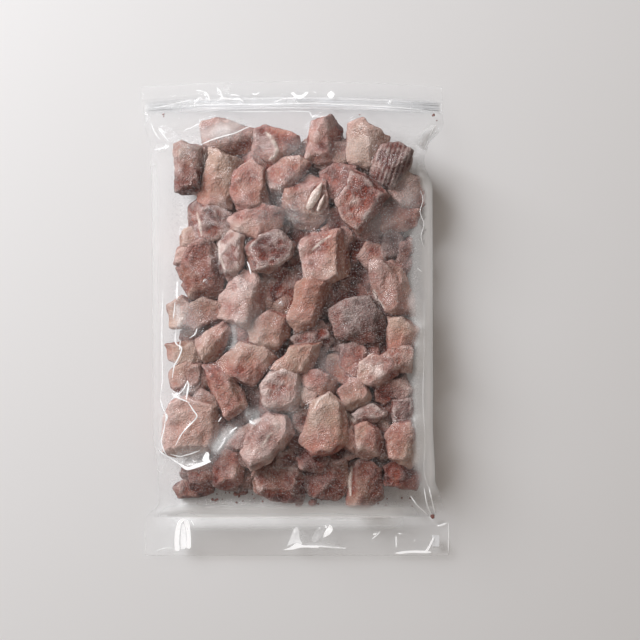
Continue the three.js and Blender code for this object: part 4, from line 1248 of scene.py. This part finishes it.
# painted reflection: a zigzag of less haze and glow, for the dark reflections in the crinkled wall
crinkleReflection = [(418, 186), (423.5, 192), (419.5, 198), (424.5, 204), (420, 210), (424, 217), (420.5, 223),
           (424.5, 230), (421, 237), (424, 244), (421.5, 250)]
away, share = besideLine(xMm, yMm, [onBag(*point, 24.0) for point in crinkleReflection])
evenAt *= 1 - milky["crinkleReflection"] * smooth(away, 1.3, 0.5) * smooth(share, 1.02, 0.8)
foot = smooth(yMm, -134, -138)
flatFoot = milky["foot"] + milky["footRight"] * smooth(xMm, -20, 60)
evenAt = lerp(evenAt, flatFoot, smooth(yMm, -132, -139))
# painted shade on the flat foot, weaker towards the right
footShadeAt = foot * smooth(xMm, -74, -66) * smooth(xMm, 99, 92)
footShadeAt *= lerp(1.0, milky["footShadeRight"], smooth(xMm, -50, 10))
frosty = smooth(np.abs(xMm), 84, 76) * smooth(yMm, -124, -114) * smooth(yMm, 128, 118)
header = smooth(yMm, 118, 124)
evenAt = np.maximum(evenAt, milky["header"] * header)
paint(bag, "shine", shineAt)
paint(bag, "footShade", footShadeAt)
paint(bag, "haze", np.where(onUpper, hazeAt, 0.0))
below = milky["rightBelow"] * smooth(past, -2, 6) * smooth(yMm, -128, -100) * smooth(yMm, 112, 80)
below = np.maximum(below, milky["slopeBelow"] * ramp * slope)
paint(bag, "even", np.where(onUpper, evenAt, below))
paint(bag, "frosty", np.where(onUpper, frosty, 0.0))


def filmMaterial(name, values):
    # clear film: a little haze, more where it is fogged or creased, a gloss over it, and a painted glow
    # where it is evenly milky
    material, tree = newMaterial(name)
    here = node(tree, "ShaderNodeTexCoord").outputs["Object"]
    perMm = node(tree, "ShaderNodeVectorMath", {0: here, "Scale": 1000.0}, operation="SCALE").outputs[0]
    patch = node(tree, "ShaderNodeTexNoise",
                 {"Vector": perMm, "Scale": 0.07, "Detail": 4.0, "Roughness": 0.6})
    fine = node(tree, "ShaderNodeTexNoise", {"Vector": perMm, "Scale": 1.3, "Detail": 2.0, "Roughness": 0.7})
    dots = node(tree, "ShaderNodeTexVoronoi", {"Vector": perMm, "Scale": 1.15}, feature="F1")
    pick = node(tree, "ShaderNodeTexWhiteNoise", {"Vector": dots.outputs["Position"]})
    fogged = fromAttribute(tree, "haze").outputs["Fac"]
    # film is milkier where it is seen at a slant
    slanted = stepped(tree, node(tree, "ShaderNodeLayerWeight", {"Blend": 0.5}).outputs["Facing"], 0.05, 0.4,
                      to=1.0, start=values["square"])
    even = sums(tree, "MULTIPLY", fromAttribute(tree, "even").outputs["Fac"], slanted)
    broken = stepped(tree, patch.outputs["Fac"], 0.3, 0.7, to=1.2, start=0.7)
    frosty = fromAttribute(tree, "frosty").outputs["Fac"]
    grainy = stepped(tree, fine.outputs["Fac"], 0.3, 0.7, to=0.25, start=-0.25)
    grainy = sums(tree, "ADD", 1.0, sums(tree, "MULTIPLY", grainy, frosty))
    patchy = sums(tree, "MULTIPLY", sums(tree, "MULTIPLY", fogged, broken), grainy)
    base = stepped(tree, patch.outputs["Fac"], 0.35, 0.75, to=values["clouded"], start=values["clear"])
    haze = sums(tree, "ADD", base, sums(tree, "MAXIMUM", patchy, sums(tree, "MULTIPLY", even, grainy)))
    speck = sums(tree, "MULTIPLY", stepped(tree, dots.outputs["Distance"], 0.36, 0.16),
                 stepped(tree, pick.outputs["Value"], 0.35, 1.0))
    speck = sums(tree, "MULTIPLY", speck, frosty)
    haze = sums(tree, "ADD", haze, sums(tree, "MULTIPLY", speck, values["specks"]))
    flour = node(tree, "ShaderNodeTexNoise",
                 {"Vector": perMm, "Scale": 1.25, "Detail": 1.5, "Roughness": 0.6})
    dust = sums(tree, "MULTIPLY", stepped(tree, flour.outputs["Fac"], 0.54, 0.76), frosty)
    haze = sums(tree, "ADD", haze, sums(tree, "MULTIPLY", dust, values["dust"]), clamp=True)
    ripple = node(tree, "ShaderNodeTexNoise", {"Vector": perMm, "Scale": 0.22, "Detail": 2.0})
    bump = node(tree, "ShaderNodeBump", {"Height": ripple.outputs["Fac"], "Distance": 0.0006,
                                         "Strength": values["ripple"]})
    # painted shade: the film of the flat foot lets a little less light through, so that the foot looks
    # shaded by the pack
    footShade = fromAttribute(tree, "footShade").outputs["Fac"]
    clear = node(tree, "ShaderNodeBsdfTransparent",
                 {"Color": mixed(tree, footShade, colour(1, 1, 1), colour(0.925, 0.92, 0.915))})
    # light spreads inside the haze, so it is shaded as a flatter surface than the film is
    flatter = node(tree, "ShaderNodeVectorMath", {0: bump.outputs[0], 1: (0.0, 0.0, values["spread"])},
                   operation="ADD")
    flatter = node(tree, "ShaderNodeVectorMath", {0: flatter.outputs[0]}, operation="NORMALIZE").outputs[0]
    # painted light: milky places glow a little, so that a milky wall stays bright also on its side away from
    # the window
    glow = mixed(tree, even, colour(0, 0, 0), colour(1.0, 0.975, 0.955))
    front = node(tree, "ShaderNodeBsdfPrincipled", {"Base Color": colour(0.96, 0.95, 0.94), "Roughness": 0.4,
                                                    "Specular IOR Level": 0.3, "Normal": flatter,
                                                    "Emission Color": glow,
                                                    "Emission Strength": values["glow"]})
    through = node(tree, "ShaderNodeBsdfTranslucent", {"Color": colour(0.93, 0.93, 0.935)})
    white = node(tree, "ShaderNodeMixShader", {0: 0.12, 1: front.outputs[0], 2: through.outputs[0]})
    gloss = node(tree, "ShaderNodeBsdfGlossy", {"Color": colour(1, 1, 1), "Roughness": values["roughness"],
                                                "Normal": bump.outputs[0]})
    edgeOn = node(tree, "ShaderNodeFresnel", {"IOR": 1.45, "Normal": bump.outputs[0]})
    lit = sums(tree, "SUBTRACT", 1.0, node(tree, "ShaderNodeLightPath").outputs["Is Shadow Ray"])
    folded = stepped(tree, fromAttribute(tree, "shine").outputs["Fac"], 0, 1,
                     to=1.0, start=values["glossFlat"])
    shine = sums(tree, "MULTIPLY", sums(tree, "MINIMUM", edgeOn.outputs[0], values["glossMost"]), lit)
    shine = sums(tree, "MULTIPLY", shine, folded)
    seen = sums(tree, "MULTIPLY", haze, sums(tree, "MAXIMUM", lit, 0.18))
    veil = node(tree, "ShaderNodeMixShader", {0: seen, 1: clear.outputs[0], 2: white.outputs[0]})
    skin = node(tree, "ShaderNodeMixShader", {0: shine, 1: veil.outputs[0], 2: gloss.outputs[0]})
    node(tree, "ShaderNodeOutputMaterial", {"Surface": skin.outputs[0]})
    return material


filmValues = {"clear": 0.004, "clouded": 0.018, "specks": 0.30, "dust": 0.30, "square": 0.4, "ripple": 0.2,
              "roughness": 0.08, "glossMost": 0.2, "glossFlat": 0.18, "spread": 9.0, "glow": 0.36}
dress(bag, filmMaterial("frostedFilm", filmValues))
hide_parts(bagNode)

creaseShape = {"lift": 0.08, "wider": 1.45, "flat": 0.5, "step": 1.0, "glintLift": 0.3, "glintThick": 0.1,
               "tilt": (0.12, -0.103)}


def alongLine(line, step):
    # even points on a soft curve through the given ones
    out = []
    for k in range(len(line) - 1):
        near = [line[max(0, min(len(line) - 1, k + n))] for n in (-1, 0, 1, 2)]
        before, a, b, after = (np.array(point, float) for point in near)
        count = max(2, int(np.hypot(*(b - a)) / step))
        for t in np.linspace(0, 1, count, endpoint=False):
            out.append(0.5 * (2 * a + (b - before) * t + (2 * before - 5 * a + 4 * b - after) * t * t
                              + (3 * a - before - 3 * b + after) * t ** 3))
    out.append(np.array(line[-1], float))
    return np.array(out)


def filmTop(x, y):
    # the header's bow shifts the raster's places along the bag
    share = 2 * (x - edgeAt("left", y)) / (edgeAt("right", y) - edgeAt("left", y)) - 1
    bowed = filmEdge["bow"] * (1 - share ** 2) * smooth(y - 2, filmEdge["bowStarts"], filmEdge["bowEnds"])
    return onRaster(drape, x, y - bowed) + raisedBy(x, y)


def creaseAlong(wide, strength, line):
    # a raised fold of the film, round and low, that runs out at both ends
    half = 0.5 * wide * creaseShape["wider"] * photo["mmPerPixel"]
    at = alongLine([onBag(*p, lowOn(line)) for p in line], creaseShape["step"])
    curve = bpy.data.curves.new("crease", "CURVE")
    curve.dimensions = "3D"
    curve.bevel_depth = half * mm
    curve.bevel_resolution = 1
    spline = curve.splines.new("POLY")
    spline.points.add(len(at) - 1)
    for k, point in enumerate(spline.points):
        share = k / (len(at) - 1)
        point.co = (at[k, 0] * mm, at[k, 1] * mm, 0, 1)
        point.radius = min(1, 0.25 + 4 * share, 0.25 + 4 * (1 - share)) * rng.uniform(0.75, 1.1)
    curve.use_fill_caps = True
    piece = bpy.data.objects.new("crease", curve)
    bpy.context.collection.objects.link(piece)
    activate(piece)
    bpy.ops.object.convert(target="MESH")
    piece = bpy.context.active_object
    here = places(piece) / mm
    # it hugs the film below it
    here[:, 2] = (filmTop(here[:, 0], here[:, 1]) + creaseShape["lift"]
                  + creaseShape["flat"] * (here[:, 2] + half))
    setPlaces(piece, here * mm)
    away, share = besideLine(here[:, 0], here[:, 1], at)
    ends = 1.0 if wide > 2 else smooth(share, -0.02, 0.15) * smooth(share, 1.02, 0.85)
    # painted highlight: the fold is milky white and glows a little
    paint(piece, "haze", strength * ends * np.ones(len(here)))
    paint(piece, "shine", np.ones(len(here)))
    paint(piece, "even", np.full(len(here), 0.6))
    return piece


def glintOn(outline, strength=1.0):
    # a small flat pane of the film, thin and closed
    ring = alongLine([onBag(*p, lowOn(outline)) for p in outline + outline[:1]], 0.8)[:-1]
    bpy.ops.mesh.primitive_circle_add(vertices=len(ring), radius=1, fill_type="NGON")
    pane = named("glint")
    top = filmTop(ring[:, 0], ring[:, 1])
    # it is tilted so that it mirrors the window into the camera
    tilt = np.array(creaseShape["tilt"]) * (1 if strength == 1 else 0)
    rise = (ring - ring.mean(0)) @ tilt
    top = top.max() + rise - rise.min() * 0.3 + creaseShape["glintLift"]
    setPlaces(pane, np.column_stack([ring, top]) * mm)
    activate(pane)
    bpy.ops.object.mode_set(mode="EDIT")
    bpy.ops.mesh.select_all(action="SELECT")
    thick = (0, 0, creaseShape["glintThick"] * mm)
    bpy.ops.mesh.extrude_region_move(TRANSFORM_OT_translate={"value": thick})
    bpy.ops.mesh.select_all(action="SELECT")
    bpy.ops.mesh.normals_make_consistent(inside=False)
    bpy.ops.object.mode_set(mode="OBJECT")
    # painted highlight: the pane is milky white and glows
    paint(pane, "haze", np.full(len(pane.data.vertices), strength))
    paint(pane, "shine", np.full(len(pane.data.vertices), 1.0 if strength == 1 else 0.25 * strength))
    paint(pane, "even", np.full(len(pane.data.vertices), 0.6 * strength))
    return pane


folds = [creaseAlong(wide, strength, line) for wide, strength, line in creases]
folds += [glintOn(outline) for outline in glints]
folds = joined(folds + [glintOn(outline, strength) for strength, outline in halfGlints], "film_creases")
bpy.ops.object.shade_smooth_by_angle(angle=math.radians(50))
creaseValues = {"clear": 0.0, "clouded": 0.02, "specks": 0.0, "dust": 0.0, "square": 1.0, "ripple": 0.1,
                "roughness": 0.12, "glossMost": 0.35, "glossFlat": 0.0, "spread": 9.0, "glow": 0.4}
paint(folds, "frosty", np.zeros(len(folds.data.vertices)))
paint(folds, "footShade", np.zeros(len(folds.data.vertices)))
dress(folds, filmMaterial("creasedFilm", creaseValues))
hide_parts(bagNode)
print("creases:", len(creases), "glints:", len(glints))


zipFade = {"left": (-88.0, -50.0), "right": (90.0, 52.0), "least": 0.015}


def zipMaterial(name, values):
    # translucent moulded strip, almost lost in the film, with fine bright ribs along its length
    material, tree = newMaterial(name)
    here = node(tree, "ShaderNodeTexCoord").outputs["Object"]
    perMm = node(tree, "ShaderNodeVectorMath", {0: here, "Scale": 1000.0}, operation="SCALE").outputs[0]
    run = node(tree, "ShaderNodeMapping", {"Vector": perMm, "Scale": (0.03, 1.4, 0.4)})
    drawn = node(tree, "ShaderNodeTexNoise", {"Vector": run.outputs[0], "Scale": 1.0, "Detail": 3.0})
    body = stepped(tree, drawn.outputs["Fac"], 0.3, 0.7, to=values["dense"], start=values["thin"])
    # it is lost in the film towards its ends
    across = node(tree, "ShaderNodeSeparateXYZ", {0: perMm}).outputs["X"]
    for end in ("left", "right"):
        fade = stepped(tree, across, *zipFade[end], to=1.0, start=zipFade["least"])
        body = sums(tree, "MULTIPLY", body, fade)
    tint = mixed(tree, stepped(tree, drawn.outputs["Fac"], 0.52, 0.66), values["tint"], values["rib"])
    lit = sums(tree, "SUBTRACT", 1.0, node(tree, "ShaderNodeLightPath").outputs["Is Shadow Ray"])
    clear = node(tree, "ShaderNodeBsdfTransparent", {"Color": colour(1, 1, 1)})
    # light runs along inside the strip, so it is shaded almost as the flat film round it is
    way = node(tree, "ShaderNodeNewGeometry").outputs["Normal"]
    flatter = node(tree, "ShaderNodeVectorMath", {0: way, 1: (0.0, 0.0, values["spread"])}, operation="ADD")
    flatter = node(tree, "ShaderNodeVectorMath", {0: flatter.outputs[0]}, operation="NORMALIZE").outputs[0]
    white = node(tree, "ShaderNodeBsdfPrincipled", {"Base Color": tint, "Roughness": 0.35,
                                                    "Specular IOR Level": 0.2, "Normal": flatter})
    seen = sums(tree, "MULTIPLY", body, lit)
    veil = node(tree, "ShaderNodeMixShader", {0: seen, 1: clear.outputs[0], 2: white.outputs[0]})
    node(tree, "ShaderNodeOutputMaterial", {"Surface": veil.outputs[0]})
    return material


zipPlastics = {
    "zip_groove_strip": {"thin": 0.80, "dense": 0.92, "tint": colour(0.86, 0.845, 0.83),
                         "rib": colour(0.95, 0.95, 0.96), "spread": 12.0},
    "zip_rib_strip": {"thin": 0.05, "dense": 0.12, "tint": colour(0.90, 0.90, 0.90),
                      "rib": colour(0.95, 0.95, 0.96), "spread": 12.0},
}
for name, values in zipPlastics.items():
    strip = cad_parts[name]
    plastic = zipMaterial("milkyPlastic_" + name, values)
    for place in strip.material_slots:
        place.material = plastic
    strip.visible_shadow = False  # light passes through it, so it leaves no dark band


def flattened(x, y, z, wide, deep, high, turn):
    # a small uneven drop or crumb, from a ball
    bpy.ops.mesh.primitive_ico_sphere_add(subdivisions=2, radius=1, location=(0, 0, 0))
    drop = named("drop")
    at = places(drop)
    c, s = math.cos(turn), math.sin(turn)
    uneven = 1 + 0.25 * np.sin(at[:, 0] * 3 + x) * np.cos(at[:, 1] * 4 + y)
    u, v = at[:, 0] * wide * uneven, at[:, 1] * deep * uneven
    setPlaces(drop, np.stack([(x + u * c - v * s) * mm, (y + u * s + v * c) * mm,
                              (z + at[:, 2] * high) * mm], 1))
    return drop


# drops of meat juice dried on the film, and crumbs that lie at the foot of the pack
drops = []
for across, down, wide, deep, turn in [(164, 115, 1.0, 0.5, 0.3), (165, 118, 0.6, 0.4, 1.2),
                                       (433, 116, 1.2, 0.9, 0.5), (436, 122, 0.6, 0.5, 0.2),
                                       (359, 118, 0.45, 0.4, 0), (433, 517, 1.4, 1.7, 0.4)]:
    x, y = onBag(across, down, 8.0)
    top = float(onRaster(drape, x, y))
    drops.append(flattened(x, y, top - 0.2, wide, deep, 0.25, turn))
loose = {"count": 46, "across": (196, 420), "downLeft": (490, 505), "downRight": (496, 512), "bend": 300,
         "size": (0.3, 1.1), "under": 0.8, "highest": 6.0}
for k in range(loose["count"]):
    across = rng.uniform(*loose["across"])
    down = rng.uniform(*loose["downLeft" if across < loose["bend"] else "downRight"])
    x, y = onBag(across, down, 6.0)
    size = rng.uniform(*loose["size"])
    lies = min(float(onRaster(drape, x, y)) - loose["under"], loose["highest"])
    drops.append(flattened(x, y, lies, size, size * 0.8, size * 0.6, rng.uniform(0, 3)))
for across, down, size in [(242, 491, 4.0), (299, 504, 2.6), (313, 503, 3.2), (236, 494, 2.0)]:
    x, y = onBag(across, down, 10.0)
    drops.append(flattened(x, y, 9.0, size, size * 0.8, size * 0.7, 0.5))
crumbs = joined(drops, "beef_crumbs")
bpy.ops.object.shade_smooth()
crumbAt = places(crumbs)
paint(crumbs, "grain", crumbAt)
paint(crumbs, "tone", np.tile([0.85, 0.1, 0.12], (len(crumbAt), 1)))
paint(crumbs, "edge", np.zeros(len(crumbAt)))
paint(crumbs, "fat", np.zeros(len(crumbAt)))
paint(crumbs, "mottle", np.full(len(crumbAt), 0.5))
dress(crumbs, bpy.data.materials["frozenBeef_red"])

# the small plain white patch printed on the foot
patchShape = {"wide": 4.8, "long": 7.6, "over": 0.12, "thick": 0.08, "corner": 0.35}
patchMiddle = onBag(435.5, 540.5, 4.0)
bpy.ops.mesh.primitive_plane_add(size=1, location=(0, 0, 0))
patch = named("print_patch")
corners = places(patch)
patchTop = float(onRaster(drape, *patchMiddle)) * mm + patchShape["over"] * mm
setPlaces(patch, np.stack([(patchMiddle[0] + corners[:, 0] * patchShape["wide"]) * mm,
                           (patchMiddle[1] + corners[:, 1] * patchShape["long"]) * mm,
                           np.full(len(corners), patchTop)], 1))
activate(patch)
bpy.ops.object.mode_set(mode="EDIT")
bpy.ops.mesh.select_all(action="SELECT")
bpy.ops.mesh.bevel(offset=patchShape["corner"] * mm, segments=2, affect="VERTICES")
bpy.ops.mesh.extrude_region_move(TRANSFORM_OT_translate={"value": (0, 0, patchShape["thick"] * mm)})
bpy.ops.mesh.select_all(action="SELECT")
bpy.ops.mesh.normals_make_consistent(inside=False)
bpy.ops.object.mode_set(mode="OBJECT")
inkMaterial, inkTree = newMaterial("whiteInk")
inkHere = node(inkTree, "ShaderNodeTexCoord").outputs["Object"]
inkGrain = node(inkTree, "ShaderNodeTexNoise", {"Vector": inkHere, "Scale": 900.0, "Detail": 2.0})
inkThin = stepped(inkTree, inkGrain.outputs["Fac"], 0.3, 0.7)
inkTone = mixed(inkTree, inkThin, colour(0.93, 0.93, 0.93), colour(0.82, 0.82, 0.82))
inkBody = node(inkTree, "ShaderNodeBsdfPrincipled", {"Base Color": inkTone, "Roughness": 0.5})
node(inkTree, "ShaderNodeOutputMaterial", {"Surface": inkBody.outputs[0]})
dress(patch, inkMaterial)

# Floor, light and camera
studio = {
    "floorColour": colour(0.815, 0.80, 0.785),
    "keyFrom": (-1.08, 0.92, 0.875), "keySize": 0.95, "keyPower": 33.3, "keyColour": (0.96, 0.989, 1.04),
    "mirrorFrom": (-0.376, 0.32, 1.52), "mirrorSize": 0.5, "mirrorPower": 11.0,
    "skyColour": colour(1.0, 0.89, 0.80), "skyStrength": 0.265,
    "cameraAt": (16.5, -1.0, 1000.0), "lens": 85.2,
}
bpy.ops.mesh.primitive_plane_add(size=6, location=(0, 0, -0.3 * mm))
floor = named("floor")
floorMaterial, floorTree = newMaterial("paleTable")
floorBody = node(floorTree, "ShaderNodeBsdfPrincipled", {"Base Color": studio["floorColour"],
                                                         "Roughness": 0.75, "Specular IOR Level": 0.2})
node(floorTree, "ShaderNodeOutputMaterial", {"Surface": floorBody.outputs[0]})
floor.data.materials.append(floorMaterial)

deselect()
bpy.ops.object.light_add(type="AREA", location=studio["keyFrom"])
key = bpy.context.active_object
key.name = "windowLight"
key.data.size = studio["keySize"]
key.data.energy = studio["keyPower"]
key.data.color = studio["keyColour"]
key.rotation_euler = (-Vector(studio["keyFrom"])).to_track_quat("-Z", "Y").to_euler()

# the window's mirror image in the film, which lights nothing else
deselect()
bpy.ops.object.light_add(type="AREA", location=studio["mirrorFrom"])
mirror = bpy.context.active_object
mirror.name = "windowMirror"
mirror.data.size = studio["mirrorSize"]
mirror.data.energy = studio["mirrorPower"]
mirror.rotation_euler = (-Vector(studio["mirrorFrom"])).to_track_quat("-Z", "Y").to_euler()
mirror.visible_diffuse = False
mirror.visible_camera = False
mirror.visible_transmission = False
mirror.data.cycles.cast_shadow = False

world = bpy.data.worlds.new("softRoom")
world.use_nodes = True
world.node_tree.nodes["Background"].inputs[0].default_value = studio["skyColour"]
world.node_tree.nodes["Background"].inputs[1].default_value = studio["skyStrength"]
bpy.context.scene.world = world

bpy.ops.object.camera_add(location=[v * mm for v in studio["cameraAt"]], rotation=(0, 0, 0))
camera = bpy.context.active_object
camera.data.lens = studio["lens"]
camera.data.sensor_width = 36
camera.data.clip_start = 0.01
bpy.context.scene.camera = camera
bpy.context.scene.view_settings.view_transform = "Standard"
